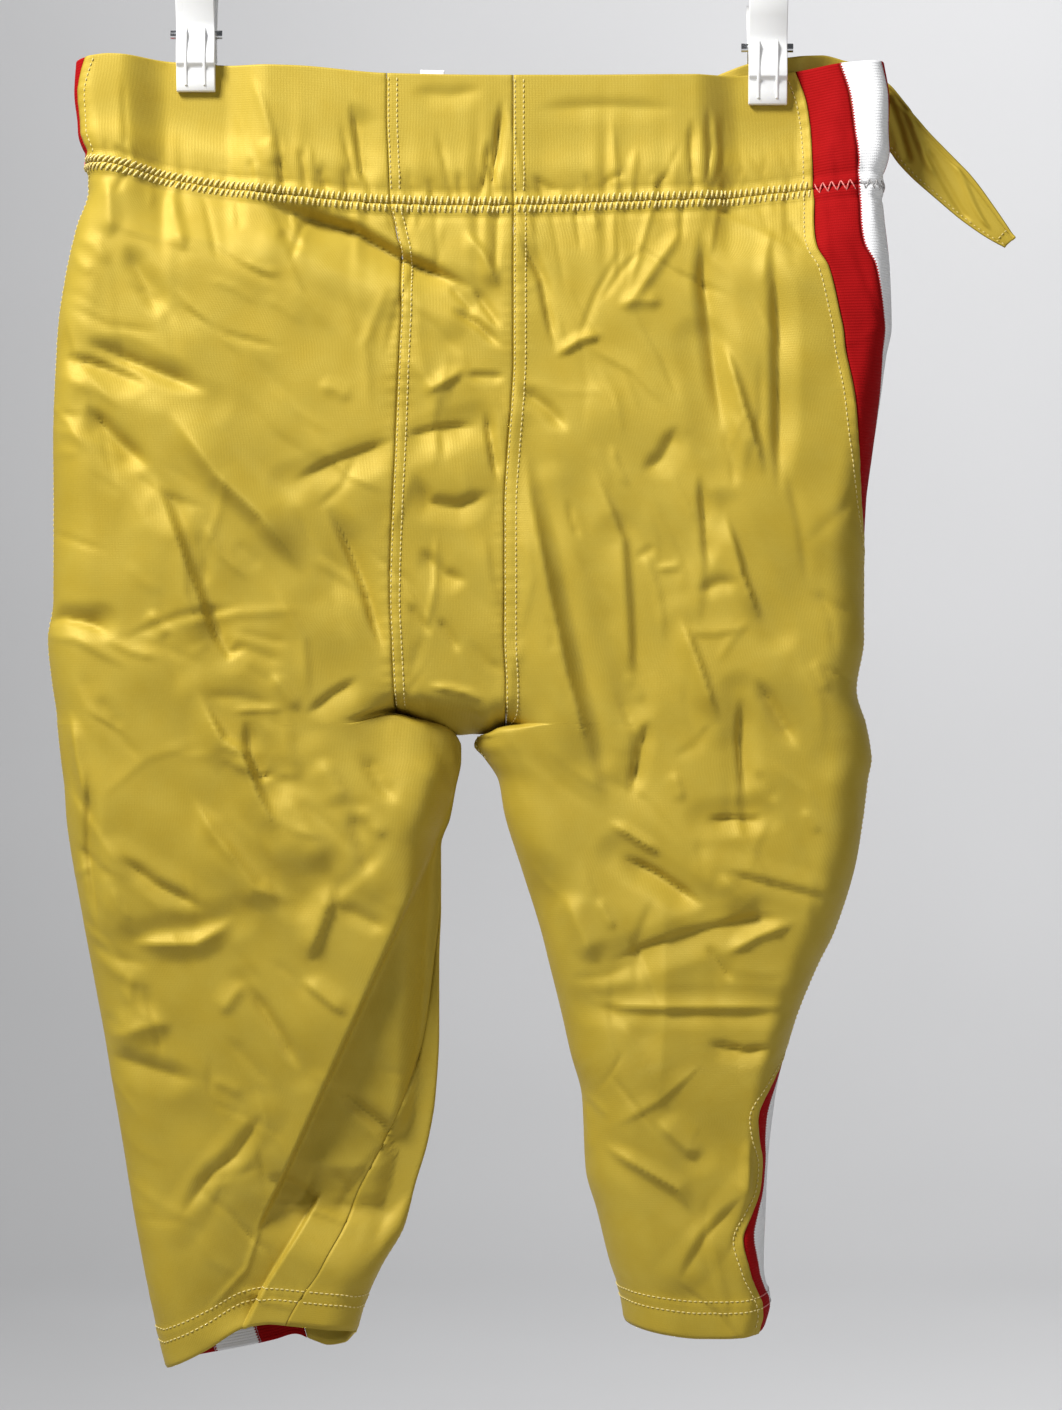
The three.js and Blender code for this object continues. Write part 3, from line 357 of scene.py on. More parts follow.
class Track:
    """A curve through one column of a table that never overshoots between its rows."""

    def __init__(self, rows: tuple, column: int, key: int = 0) -> None:
        """Reads the column.

        Args:
            rows: The table.
            column: Index of the column that gives the values.
            key: Index of the column that gives the places.
        """
        self.at = np.array([row[key] for row in rows], float)
        self.value = np.array([row[column] for row in rows], float)
        rise = np.diff(self.value) / np.diff(self.at)
        self.slope = np.empty_like(self.value)
        self.slope[0], self.slope[-1] = rise[0], rise[-1]
        turns = rise[:-1] * rise[1:] <= 0
        total = np.where(turns, 1, rise[:-1] + rise[1:])
        self.slope[1:-1] = np.where(turns, 0, 2 * rise[:-1] * rise[1:] / total)

    def __call__(self, place: Array) -> Array:
        """The values at some places, held level past both ends."""
        x = np.clip(place, self.at[0], self.at[-1])
        i = np.clip(np.searchsorted(self.at, x, side="right") - 1, 0, len(self.at) - 2)
        span = self.at[i + 1] - self.at[i]
        t = (x - self.at[i]) / span
        ease = t * t * (3 - 2 * t)
        bend = span * t * (1 - t) * (self.slope[i] * (1 - t) - self.slope[i + 1] * t)
        return mix(self.value[i], self.value[i + 1], ease) + bend


# --- Folds and creases ---


@dataclass(frozen=True)
class Fold:
    """A broad soft fold, or a step where one fold lies over the next cloth."""

    x1: float
    drop1: float
    x2: float
    drop2: float
    height: float
    width: float
    side: int = 0

    step_edge = 2.2
    step_starts = (-0.08, 0.12)
    step_ends = (0.85, 1.05)
    step_swell = (0.85, 1.2)
    right_fade = (0.9, 1.4)
    left_fade = (-0.35, 1.0)

    def at(self, x: Array, drop: Array) -> Array:
        """How high the fold stands at some places.

        Args:
            x: Places across.
            drop: Places down.

        Returns:
            Heights in millimetres.
        """
        run_x, run_drop = self.x2 - self.x1, self.drop2 - self.drop1
        length = math.hypot(run_x, run_drop)
        along = ((x - self.x1) * run_x + (drop - self.drop1) * run_drop) / length
        off = ((x - self.x1) * run_drop - (drop - self.drop1) * run_x) / length
        if self.side:
            return self.step_at(along / length, off * self.side)
        beyond = np.maximum(np.maximum(-along, along - length), 0)
        u = np.hypot(beyond, off) / self.width
        return np.where(u < 1, self.height * (1 - u * u) ** 2, 0)

    def step_at(self, share: Array, past: Array) -> Array:
        """How far the cloth falls back behind a fold that lies over it.

        Args:
            share: Shares of the way along the fold.
            past: Distances past its edge.

        Returns:
            Heights in millimetres.
        """
        ends = smooth(*self.step_starts, share) * (1 - smooth(*self.step_ends, share))
        first, last = self.right_fade if self.side > 0 else self.left_fade
        fall = smooth(0, self.step_edge, past) * (1 - smooth(self.width * first, self.width * last, past))
        fall = fall * mix(*self.step_swell, np.clip(past / self.width, 0, 1))
        return -self.height * ends * fall


@dataclass(frozen=True)
class Crease:
    """A sharp crease: a line with a flank on each side, which fades at both ends."""

    height: float
    above: float
    below: float
    points: tuple

    sharpness = 1.6
    tip = 0.05
    slant = 0.085

    @property
    def flanks(self) -> tuple[float, float]:
        """Widths of the flanks above and below: the one that turns from the light is drawn in."""
        run_x = self.points[-1][0] - self.points[0][0]
        run_drop = self.points[-1][1] - self.points[0][1]
        if (run_x > run_drop) == (self.height < 0):
            return max(NARROWEST, self.above * SHADED), self.below
        return self.above, max(NARROWEST, self.below * SHADED)

    def add_to(self, field_: Array, x: Array, drop: Array) -> None:
        """Adds the crease's height to a field of heights.

        Args:
            field_: The heights, changed in place.
            x: Places across.
            drop: Places down.
        """
        line = np.array(self.points, float)
        above, below = self.flanks
        reach = max(above, below)
        near = (
            (x > line[:, 0].min() - reach) & (x < line[:, 0].max() + reach)
            & (drop > line[:, 1].min() - reach) & (drop < line[:, 1].max() + reach)
        )
        if not near.any():
            return
        px, py = x[near], drop[near]
        runs = np.diff(line, axis=0)
        lengths = np.hypot(runs[:, 0], runs[:, 1])
        best = np.full(px.shape, 1e9)
        along = np.zeros(px.shape)
        sign = np.ones(px.shape)
        before = 0.0
        for (x1, y1), (run_x, run_y), length in zip(line[:-1], runs, lengths):
            share = np.clip(((px - x1) * run_x + (py - y1) * run_y) / length**2, 0, 1)
            distance = np.hypot(px - x1 - share * run_x, py - y1 - share * run_y)
            side = (px - x1) * run_y - (py - y1) * run_x
            closer = distance < best
            best = np.where(closer, distance, best)
            along = np.where(closer, before + share * length, along)
            sign = np.where(closer, side, sign)
            before += length
        share = along / before
        taper = smooth(0, 0.3, share) * (1 - smooth(0.7, 1, share))
        width = np.where(sign > 0, above, below) * mix(0.25, 1, np.sqrt(taper))
        u = np.sqrt((best / width) ** 2 + self.tip**2) - self.tip
        height = math.copysign(min(abs(self.height), self.slant * before), self.height)
        field_[near] += height * taper * np.clip(1 - u, 0, 1) ** self.sharpness


def small_creases(seed: int) -> list[Crease]:
    """Short shallow creases scattered over the cloth: slanted on the left, steep on the right.

    Args:
        seed: Seed of the scatter.

    Returns:
        The creases.
    """
    random = np.random.default_rng(seed)
    rule = SMALL_CREASES
    made = []
    for _ in range(rule["count"]):
        x, drop = random.uniform(*rule["across"]), random.uniform(*rule["down"])
        usual = rule["left_lean"] if x < rule["right_of"] else rule["right_lean"]
        lean = random.normal(usual, rule["lean_spread"])
        if random.random() < rule["stray_share"]:
            lean = random.uniform(*rule["stray_lean"])
        length = random.uniform(*rule["length"])
        half = np.array((math.sin(lean), math.cos(lean))) * length / 2
        bow = random.uniform(*rule["bow"]) * length
        middle = (x + bow * math.cos(lean), drop - bow * math.sin(lean))
        ends = sorted(((x - half[0], drop - half[1]), (x + half[0], drop + half[1])))
        height = random.uniform(*rule["height"]) * random.choice((-1, 1))
        above, below = random.uniform(*rule["width"], 2)
        made.append(Crease(height, above, below, (ends[0], middle, ends[1])))
    return made


def gathers(seed: int) -> list[Crease]:
    """Short pleats that run up and down from the waistband's seam.

    Args:
        seed: Seed of the scatter.

    Returns:
        The pleats, as creases.
    """
    random = np.random.default_rng(seed)
    rule = PLEATS
    made = []
    for way, longest, gap in PLEAT_ROWS:
        x = rule["first"]
        while x < rule["last"]:
            x += random.uniform(*rule["gap"]) * gap
            seam = float(WAIST_SEAM(x))
            length = random.uniform(rule["shortest"], longest)
            if random.random() < rule["long_share"]:
                length += longest * rule["longer"]
            lean = random.normal(*rule["lean"]) * way
            foot = (x + math.sin(lean) * length, seam + way * length)
            start = (x - 2 * math.sin(lean), seam - way * 0.22 * length)
            height = random.uniform(*rule["height"]) * random.choice((rule["trough"], 1))
            widths = random.uniform(*rule["width"], 2)
            points = (start, (x, seam), foot)
            made.append(Crease(height, *widths, points if way > 0 else points[::-1]))
    return made


class Relief:
    """All that stands off the plain hanging form: creases, pleats and slow waves."""

    tables = {Layer.NEAR: (BACK_CREASES, 11, 5), Layer.FAR: (FRONT_CREASES, 23, 6)}
    wave_lengths = (120, 26, 16)
    wave_height = 0.006
    wave_power = 0.9
    wave_turn = 6.3
    calm_above = (60, 110)
    calm = 0.35

    def __init__(self) -> None:
        """Gathers the creases and waves of each layer, from its table and two seeds."""
        self.creases, self.waves = {}, {}
        for layer, (rows, seed, wave_seed) in self.tables.items():
            self.creases[layer] = self.placed(rows, CREASE_SHARE) + small_creases(seed) + gathers(seed + 3)
            self.waves[layer] = self.make_waves(wave_seed)
        self.creases[Layer.NEAR] += self.placed(BAND_CREASES, PLEAT_SHARE)

    @staticmethod
    def placed(rows: tuple, share: float) -> list[Crease]:
        """Creases of a table, at a share of their height."""
        return [Crease(share * row[0], *row[1:3], tuple(zip(row[3::2], row[4::2]))) for row in rows]

    def make_waves(self, seed: int) -> list[tuple]:
        """Slow waves of the cloth.

        Args:
            seed: Seed of their directions.

        Returns:
            Height, rate across, rate down and phase of each.
        """
        random = np.random.default_rng(seed)
        made = []
        for length in np.geomspace(*self.wave_lengths):
            angle = random.uniform(0, math.pi)
            rate = 2 * math.pi / length
            height = self.wave_height * length ** self.wave_power
            phase = random.uniform(0, self.wave_turn)
            made.append((height, rate * math.cos(angle), rate * math.sin(angle), phase))
        return made

    def of_layer(self, layer: Layer, x: Array, drop: Array) -> Array:
        """Height above the plain form on one layer.

        Args:
            layer: The layer.
            x: Places across.
            drop: Places down.

        Returns:
            Heights in millimetres.
        """
        height = np.zeros(x.shape)
        for crease in self.creases[layer]:
            crease.add_to(height, x, drop)
        slow = sum(h * np.sin(a * x + b * drop + c) for h, a, b, c in self.waves[layer])
        return height + slow * mix(self.calm, 1, smooth(*self.calm_above, drop))

    def at(self, points: Array) -> Array:
        """Height above the plain form at points of the cloth.

        Args:
            points: Points in millimetres, on either layer.

        Returns:
            Heights in millimetres.
        """
        x, drop, near = points[..., 0], drop_of(points), nearness(points)
        height = np.zeros(x.shape)
        for layer, share in ((Layer.NEAR, near), (Layer.FAR, 1 - near)):
            if share.any():
                height += self.of_layer(layer, x, drop) * share
        return height * (1 - pinch(x, drop))


def pinch(x: Array, drop: Array) -> Array:
    """How far a clip holds the cloth flat, from 0 to 1."""
    beside = 1 - smooth(PINCH_FLAT, PINCH_REACH, np.abs(np.abs(x) - CLIP_SPREAD))
    return beside * (1 - smooth(PINCH_DEPTH, PINCH_FADE, drop))


# --- The hanging form ---

WAIST_TOP, WAIST_SEAM = Track(WAIST_LINE, 1), Track(WAIST_LINE, 2)
LIP_SAG, FRONT_RISE, ROLLED = Track(CROTCH_LIP, 1), Track(FAR_TOP, 1), Track(RIGHT_ROLL, 1)


def gather_height(x: Array, drop: Array) -> Array:
    """Height of the gathers that the waistband's elastic makes on both sides of its seam.

    Args:
        x: Places across.
        drop: Nominal drops.

    Returns:
        Heights in millimetres.
    """
    away = np.abs(drop - BAND_DEPTH) / GATHER_REACH
    turn = (x / (2 * RIGHT_OUTLINE[0][1])) * GATHER_COUNT
    uneven = 0.35 * np.sin(turn * 1.7) + 0.2 * np.sin(turn * 4.1)
    strength = 0.65 + 0.35 * np.sin(turn * 2.3 + 1)
    return GATHER_HEIGHT * strength * np.sin((turn + uneven) * 2 * np.pi) * np.exp(-away * away)


def openness(drop: Array) -> Array:
    """1 where a section is open to the gusset, falling to 0 where the gusset has turned under."""
    t = np.clip((CROTCH - drop) / CROTCH_TURN, 0, 1)
    return np.sqrt(1 - (1 - t) ** 2)


@dataclass
class Sections:
    """The sections of one half at a column of drops, each as a dense line."""

    x: Array
    y: Array
    z: Array
    run: Array
    side: Array
    closed: Array

    @property
    def length(self) -> Array:
        """Length of each section."""
        return self.run[:, -1]


@dataclass
class Leg:
    """One half of the pants: its outline, its braid and its uneven hem."""

    side: int
    outline: tuple
    braid: tuple
    hem_line: tuple
    steps: int = 640
    waist_reach: float = 130.0
    hem_reach: float = 95.0
    far_gathers: float = 9.0
    side_share: tuple[float, float] = (0.1, 0.75)
    stiff_reach: tuple[float, float] = (1.0, 12.0)

    def __post_init__(self) -> None:
        """Makes the curves and folds from the tables."""
        self.word = "left" if self.side < 0 else "right"
        self.core = self.outline[0][2]
        first = 1 if self.side < 0 else 3
        self.outer, self.inner = Track(self.outline, 1), Track(self.outline, 2)
        self.middle_depth, self.side_depth = Track(DEPTHS, first), Track(DEPTHS, first + 1)
        self.outer_round, self.inner_round = Track(ROUNDING, first), Track(ROUNDING, first + 1)
        self.inseam = Track(INSEAM, 1 if self.side < 0 else 2)
        self.hem = {Layer.NEAR: Track(self.hem_line, 1), Layer.FAR: Track(self.hem_line, 2)}
        tables = {Layer.NEAR: BACK_FOLDS, Layer.FAR: FRONT_FOLDS}
        self.folds = {layer: [Fold(*row) for row in rows] for layer, rows in tables.items()}
        self.steps_over = {Layer.NEAR: [Fold(*row) for row in BACK_STEPS], Layer.FAR: []}
        drops, insets, wraps = np.array(self.braid, float).T
        offsets = wraps - self.length_from_side(drops, insets)
        self.braid_offset = Track(tuple(zip(drops, offsets)), 1)

    def true_drop(self, layer: Layer, x: Array, drop: Array) -> Array:
        """Drop of a place once the waistband and the hem hang as uneven as they do.

        Args:
            layer: The layer.
            x: Places across.
            drop: Nominal drops.

        Returns:
            Drops in millimetres.
        """
        band = mix(WAIST_TOP(x), WAIST_SEAM(x), drop / BAND_DEPTH)
        waist = 1 - smooth(BAND_DEPTH, BAND_DEPTH + self.waist_reach, drop)
        foot = smooth(HEM - self.hem_reach, HEM, drop)
        body = drop + (WAIST_SEAM(x) - BAND_DEPTH) * waist + (self.hem[layer](x) - HEM) * foot
        return np.where(drop <= BAND_DEPTH, band, body)

    def stand_off(self, layer: Layer, x: Array, drop: Array) -> Array:
        """How far a layer stands off the middle, before its section is rounded.

        Args:
            layer: The layer.
            x: Places across.
            drop: Nominal drops.

        Returns:
            Depths in millimetres.
        """
        across = (x - self.core) / (self.outer(drop) - self.core)
        depth = mix(self.middle_depth(drop), self.side_depth(drop), smooth(*self.side_share, across))
        depth = depth + gather_height(x if layer is Layer.NEAR else x + self.far_gathers, drop)
        stiff = mix(1 - SEAM_STIFFNESS, 1, smooth(*self.stiff_reach, np.abs(x - self.inner(drop))))
        for fold in self.folds[layer]:
            depth = depth + fold.at(x, drop) * (stiff * FOLD_SHARE)
        for step in self.steps_over[layer]:
            depth = depth + step.at(x, drop)
        return np.maximum(PINCHED, mix(depth, PINCHED, pinch(x, drop)))

    def sections(self, drops: Array) -> Sections:
        """The sections at some drops: from the inner edge over the back and round to the front.

        Args:
            drops: Nominal drops.

        Returns:
            The sections.
        """
        drop = np.asarray(drops, float)[:, None]
        inner, outer = self.inner(drop), self.outer(drop)
        span = np.abs(outer - inner)
        share = (0.5 - 0.5 * np.cos(np.pi * np.arange(self.steps + 1) / self.steps))[None, :]
        x = mix(inner, outer, share)
        down = np.broadcast_to(drop, x.shape)
        from_outer = np.minimum(1, span * (1 - share) / np.minimum(self.outer_round(drop), span / 2))
        from_inner = np.minimum(1, span * share / np.minimum(self.inner_round(drop), span / 2))
        shut = 1 - openness(drop) ** 2
        close = np.sqrt(1 - (1 - from_outer) ** 2) * np.sqrt(1 - (1 - from_inner) ** 2 * shut)
        back = slice(-2, None, -1)
        near, far = (self.stand_off(layer, x, down) * close for layer in Layer)
        near_z, far_z = (-WAIST_DATUM - self.true_drop(layer, x, down) for layer in Layer)
        xs = np.concatenate((x, x[:, back]), axis=1)
        ys = np.concatenate((-near, far[:, back]), axis=1)
        zs = np.concatenate((near_z, far_z[:, back]), axis=1)
        run = np.zeros(xs.shape)
        run[:, 1:] = np.cumsum(np.hypot(np.diff(xs, axis=1), np.diff(ys, axis=1)), axis=1)
        return Sections(xs, ys, zs, run, run[:, self.steps], drop[:, 0] >= CROTCH)

    def points(self, sections: Sections, runs: Array) -> Array:
        """Points of the surface.

        Args:
            sections: The sections, one for each row.
            runs: Lengths along each section, rows by columns.

        Returns:
            Points in millimetres, rows by columns by 3.
        """
        made = np.empty(runs.shape + (3,))
        for row, run in enumerate(runs):
            length = sections.length[row]
            at = np.mod(run, length) if sections.closed[row] else np.clip(run, 0, length)
            for axis, line in enumerate((sections.x, sections.y, sections.z)):
                made[row, :, axis] = np.interp(at, sections.run[row], line[row])
        return made

    def run_at(self, sections: Sections, row: int, x: float) -> float:
        """Length along the back of one section to a place across."""
        back = slice(0, self.steps + 1)
        return np.interp(x * self.side, sections.x[row, back] * self.side, sections.run[row, back])

    def length_from_side(self, drops: Array, insets: Array) -> Array:
        """Length along the back from places set in from the silhouette to the silhouette.

        Args:
            drops: Nominal drops.
            insets: How far each place is set in.

        Returns:
            The lengths.
        """
        sections = self.sections(drops)
        places = self.outer(drops) - self.side * insets
        runs = [self.run_at(sections, row, place) for row, place in enumerate(places)]
        return sections.side - np.array(runs)

    def tuck(self, drops: Array, sections: Sections) -> Array:
        """How much more cloth than above a section has beside its inner edge.

        Args:
            drops: Nominal drops.
            sections: The sections at them.

        Returns:
            A length for each drop.
        """
        line = self.core + self.side * TUCK_LINE
        lengths = np.array([self.run_at(sections, row, line) for row in range(len(drops))])
        above = CROTCH - CROTCH_TURN
        more = np.maximum(lengths - np.interp(above, drops, lengths), 0) * (1 - smooth(*TUCK_FADE, drops))
        return np.where(drops > above, more, 0)


LEFT = Leg(-1, LEFT_OUTLINE, LEFT_BRAID, LEFT_HEM)
RIGHT = Leg(1, RIGHT_OUTLINE, RIGHT_BRAID, RIGHT_HEM)


# --- Patches: stretches of the cloth ---


class Line(Enum):
    """The lines that run down a leg, between which its pieces are cut, in their order."""

    BACK_INSEAM = -1
    BRAID_1 = 0
    BRAID_2 = 1
    BRAID_3 = 2
    BRAID_END = 3
    FRONT_INSEAM = 4


class Tuck(Enum):
    """Which edge of a piece takes up the extra cloth beside the gusset, and over what share."""

    NONE = 0.0
    START = 5 / 16
    END = 5 / 8


def unit(vectors: Array) -> Array:
    """The same vectors with length 1."""
    return vectors / np.maximum(np.linalg.norm(vectors, axis=-1, keepdims=True), 1e-9)


def pucker(run: Array, seed: float) -> Array:
    """Uneven ripples along a seam.

    Args:
        run: Lengths along the seam.
        seed: Seed of the ripples.

    Returns:
        Heights between -1 and 1.
    """
    slow = 1.4 * np.sin(run / 8.3 + seed) + 0.9 * np.sin(run / 15.1 + 2 * seed)
    fine = 0.55 * np.sin(run / 1.05 + slow) + 0.45 * np.sin(run / 1.9 - 1.7 * slow)
    return fine * (0.6 + 0.4 * np.sin(run / 23 + seed))


@dataclass
class Patch:
    """A grid of points on the cloth, rows down and columns across, in millimetres."""

    points: Array
    drops: Array
    from_start: Array
    from_end: Array
    flip: int
    grain_from_end: bool = False
    normals: Array = field(init=False)

    def __post_init__(self) -> None:
        """Finds the normals."""
        self.settle()

    @property
    def shape(self) -> tuple[int, int]:
        """Number of rows and columns."""
        return self.points.shape[:2]

    def settle(self) -> None:
        """Works the normals out again after the points have moved."""
        across = np.gradient(self.points, axis=1)
        down = np.gradient(self.points, axis=0)
        self.normals = unit(np.cross(across, down) * self.flip)

    def raise_by(self, height: Array) -> None:
        """Moves each point along its normal by a height in millimetres."""
        self.points = self.points + self.normals * height[..., None]
        self.settle()

    @property
    def falls(self) -> Array:
        """Length of cloth from each row to the next."""
        return np.median(np.linalg.norm(np.diff(self.points, axis=0), axis=2), axis=1)

    def flat_places(self) -> tuple[Array, Array]:
        """Where each point lies on the flat cloth.

        Returns:
            Lengths across and down, along the straight grain.
        """
        down = np.concatenate(([0.0], np.cumsum(self.falls)))
        across = self.from_end.max() - self.from_end if self.grain_from_end else self.from_start
        return across, np.broadcast_to(down[:, None], self.shape)

    def cut_size(self) -> tuple[float, float, float]:
        """Size of the flat cut.

        Returns:
            Its width, length and area, in metres.
        """
        widths = np.linalg.norm(np.diff(self.points, axis=1), axis=2).sum(axis=1)
        area = float(((widths[1:] + widths[:-1]) / 2 * self.falls).sum())
        return widths.max() * MM, self.falls.sum() * MM, area * MM * MM

    def sample(self, rows: Array, columns: Array) -> tuple[Array, Array]:
        """Points and normals between the grid's own.

        Args:
            rows: Row places, which needn't be whole.
            columns: Column places.

        Returns:
            The points and the normals.
        """
        last_row, last_column = self.shape[0] - 1, self.shape[1] - 1
        rows, columns = np.clip(rows, 0, last_row), np.clip(columns, 0, last_column)
        r = np.minimum(rows.astype(int), last_row - 1)
        c = np.minimum(columns.astype(int), last_column - 1)
        u, v = (rows - r)[..., None], (columns - c)[..., None]
        found = []
        for grid in (self.points, self.normals):
            top = mix(grid[r, c], grid[r, c + 1], v)
            foot = mix(grid[r + 1, c], grid[r + 1, c + 1], v)
            found.append(mix(top, foot, u))
        return found[0], unit(found[1])

    def row_at(self, drop: Array) -> Array:
        """Row place of a nominal drop."""
        return np.interp(drop, self.drops, np.arange(len(self.drops)))

    def rail_down(self, distance: float, at_end: bool, low: float, high: float) -> "Rail":
        """A line that runs down the patch at a distance from one of its edges.

        Args:
            distance: Distance from the edge.
            at_end: Whether the edge is the last column, not the first.
            low: Drop at which the line starts.
            high: Drop at which it ends.

        Returns:
            The line.
        """
        drops = np.arange(low, high, 0.8)
        rows = self.row_at(drops)
        lengths = self.from_end[:, ::-1] if at_end else self.from_start
        places = np.empty(len(rows))
        for i, row in enumerate(rows):
            near = lengths[int(round(row))]
            places[i] = np.interp(distance, near, np.arange(len(near)))
        columns = self.shape[1] - 1 - places if at_end else places
        return Rail(*self.sample(rows, columns))

    def rail_across(self, drop: float) -> "Rail":
        """A line that runs across the whole patch.

        Args:
            drop: Its nominal drop.

        Returns:
            The line.
        """
        columns = np.linspace(0, self.shape[1] - 1, 2 * self.shape[1])
        rows = np.full(columns.shape, float(self.row_at(drop)))
        return Rail(*self.sample(rows, columns))

    def place(self, drop: Array, share: Array) -> tuple[Array, Array]:
        """Points and normals at nominal drops and shares of the way across."""
        return self.sample(self.row_at(drop), share * (self.shape[1] - 1))


@dataclass
class Rail:
    """A line on the cloth with the cloth's normals along it."""

    points: Array
    normals: Array

    def __post_init__(self) -> None:
        """Measures the line."""
        steps = np.linalg.norm(np.diff(self.points, axis=0), axis=1)
        self.run = np.concatenate(([0.0], np.cumsum(steps)))

    def at(self, run: Array) -> tuple[Array, Array]:
        """Places along the line.

        Args:
            run: Lengths along it.

        Returns:
            The points and normals there.
        """
        points, normals = (
            np.stack([np.interp(run, self.run, line[:, k]) for k in range(3)], axis=-1)
            for line in (self.points, self.normals)
        )
        return points, unit(normals)


def spread(low: float, high: float, pitch: float) -> Array:
    """Evenly spaced values from low to high, about a pitch apart."""
    return np.linspace(low, high, max(2, int(round((high - low) / pitch)) + 1))


@dataclass
class Cloth:
    """The hanging form of the pants, from which every piece is cut."""

    relief: Relief
    pitch: float = 1.85
    far_pitch: float = 3.2
    band_pitch: float = 1.7
    seam: float = 0.07
    least_depth: float = 0.25
    under_place: tuple[float, float] = (-14.0, 24.0)
    sag_drops: tuple[float, ...] = (322, 350, 353, 372)
    top_reach: tuple[float, float] = (2, 22)

    def turn_drops(self) -> Array:
        """Drops of the rows where the gusset turns under, closer and closer together."""
        above = np.array((16.0, 14.2, 12.4, 10.6, 8.9, 7.3, 5.8, 4.4, 3.2, 2.2, 1.3, 0.6, 0.0))
        return CROTCH - above * CROTCH_TURN / above[0]

    def panel_drops(self) -> Array:
        """Drops of the rows of the leg's pieces below the waistband, from the top down."""
        body = spread(BAND_DEPTH + self.seam, CROTCH - CROTCH_TURN, self.pitch)
        below = (353.3, 353.7, 354.2, 354.8, 355.5, 356.4, 357.5, 359.0, 361.0, 363.5)
        return np.concatenate((body[:-1], self.turn_drops(), below, spread(366.0, HEM, self.pitch)))

    def band_drops(self) -> Array:
        """Drops of the waistband's rows, close together at its rolled top edge."""
        roll = (0.0, 0.2, 0.5, 0.9, 1.6, 2.6)
        return np.concatenate((roll, spread(4.2, BAND_DEPTH - self.seam, self.band_pitch)))

    def displaced(self, points: Array) -> Array:
        """Points of the plain form, moved out or in by the creases.

        Args:
            points: Points in millimetres.

        Returns:
            The moved points. They never pass the middle between the two layers.
        """
        moved = points.copy()
        moved[..., 2] += self.far_top(points) - self.crotch_sag(points)
        depth = np.abs(points[..., 1])
        height = self.relief.at(points) * np.abs(1 - 2 * nearness(points))
        least = np.maximum(np.minimum(depth, PINCHED), self.least_depth * depth)
        moved[..., 1] = np.sign(points[..., 1]) * np.maximum(depth + height, least)
        return moved

    def crotch_sag(self, points: Array) -> Array:
        """How much lower the cloth hangs where the gusset turns under.

        Args:
            points: Points in millimetres.

        Returns:
            The sag of each.
        """
        x, y, drop = points[..., 0], points[..., 1], drop_of(points)
        middle, width = self.under_place
        under = CROTCH_UNDER * bell(x - middle, width) * smooth(-18, 2, y)
        above, full, until, below = self.sag_drops
        share = smooth(above, full, drop) * (1 - smooth(until, below, drop))
        return (LIP_SAG(x) * smooth(8, -6, y) + under) * share

    def far_top(self, points: Array) -> Array:
        """How much higher the front's top edge stands than the back's."""
        fade = 1 - smooth(*self.top_reach, drop_of(points))
        return FRONT_RISE(points[..., 0]) * smooth(2, 6, points[..., 1]) * fade

    def line(self, leg: Leg, line: Line, sections: Sections, drops: Array) -> Array:
        """Length along each section to one of the lines that run down a leg.

        Args:
            leg: The leg.
            line: The line.
            sections: The leg's sections.
            drops: Their drops.

        Returns:
            The lengths.
        """
        if line in (Line.BACK_INSEAM, Line.FRONT_INSEAM):
            turned = np.where(drops > CROTCH, leg.inseam(drops), 0)
            return turned + (sections.length if line is Line.FRONT_INSEAM else 0)
        rolled = ROLLED(drops) if leg.side > 0 and line is not Line.BRAID_1 else 0
        return sections.side + leg.braid_offset(drops) + line.value * STRIPE - rolled

    def leg_patch(self, leg: Leg, drops: Array, lines: tuple[Line, Line], columns: int,
                  tuck: Tuck = Tuck.NONE) -> Patch:
        """A piece of one leg between two lines that run down it.

        Args:
            leg: The leg.
            drops: Nominal drops of the rows.
            lines: The line at which the piece starts and the one at which it ends.
            columns: Number of columns.
            tuck: Edge that takes up the extra cloth beside the gusset.

        Returns:
            The patch, with its creases.
        """
        sections = leg.sections(drops)
        start = (self.line(leg, lines[0], sections, drops) + self.seam)[:, None]
        end = (self.line(leg, lines[1], sections, drops) - self.seam)[:, None]
        t = np.linspace(0, 1, columns + 1)[None, :]
        if tuck is not Tuck.NONE:
            extra, width = leg.tuck(drops, sections)[:, None], end - start
            at = t if tuck is Tuck.START else 1 - t
            share = (np.minimum(at / tuck.value, 1) * extra + at * (width - extra)) / width
            t = share if tuck is Tuck.START else 1 - share
        runs = mix(start, end, t)
        points = self.displaced(leg.points(sections, runs))
        return Patch(points, drops, runs - start, end - runs, -leg.side, tuck is Tuck.START)

    def centre_patch(self, runs: Array, columns: int) -> Patch:
        """A piece of the strip between the two long seams, down the back and up the front.

        Args:
            runs: Drops on the back, which count on while the strip climbs the front.
            columns: Number of columns.

        Returns:
            The patch, with its creases.
        """
        on_front = runs > CROTCH
        drop = np.where(on_front, 2 * CROTCH - runs, runs)[:, None]
        shares = np.linspace(0, 1, columns + 1)[None, :]
        x = mix(LEFT.inner(drop) + self.seam, RIGHT.inner(drop) - self.seam, shares)
        down = np.broadcast_to(drop, x.shape)
        points = np.empty(x.shape + (3,))
        points[..., 0] = x
        for layer, rows, sign in ((Layer.NEAR, ~on_front, -1), (Layer.FAR, on_front, 1)):
            if rows.any():
                off = LEFT.stand_off(layer, x[rows], down[rows]) * openness(down[rows])
                points[rows, :, 1] = off * sign
                points[rows, :, 2] = -WAIST_DATUM - LEFT.true_drop(layer, x[rows], down[rows])
        width = np.abs(x[:, -1] - x[:, 0])[:, None]
        lengths = width * shares
        return Patch(self.displaced(points), runs, lengths, width - lengths, -1)


# --- Making pieces ---


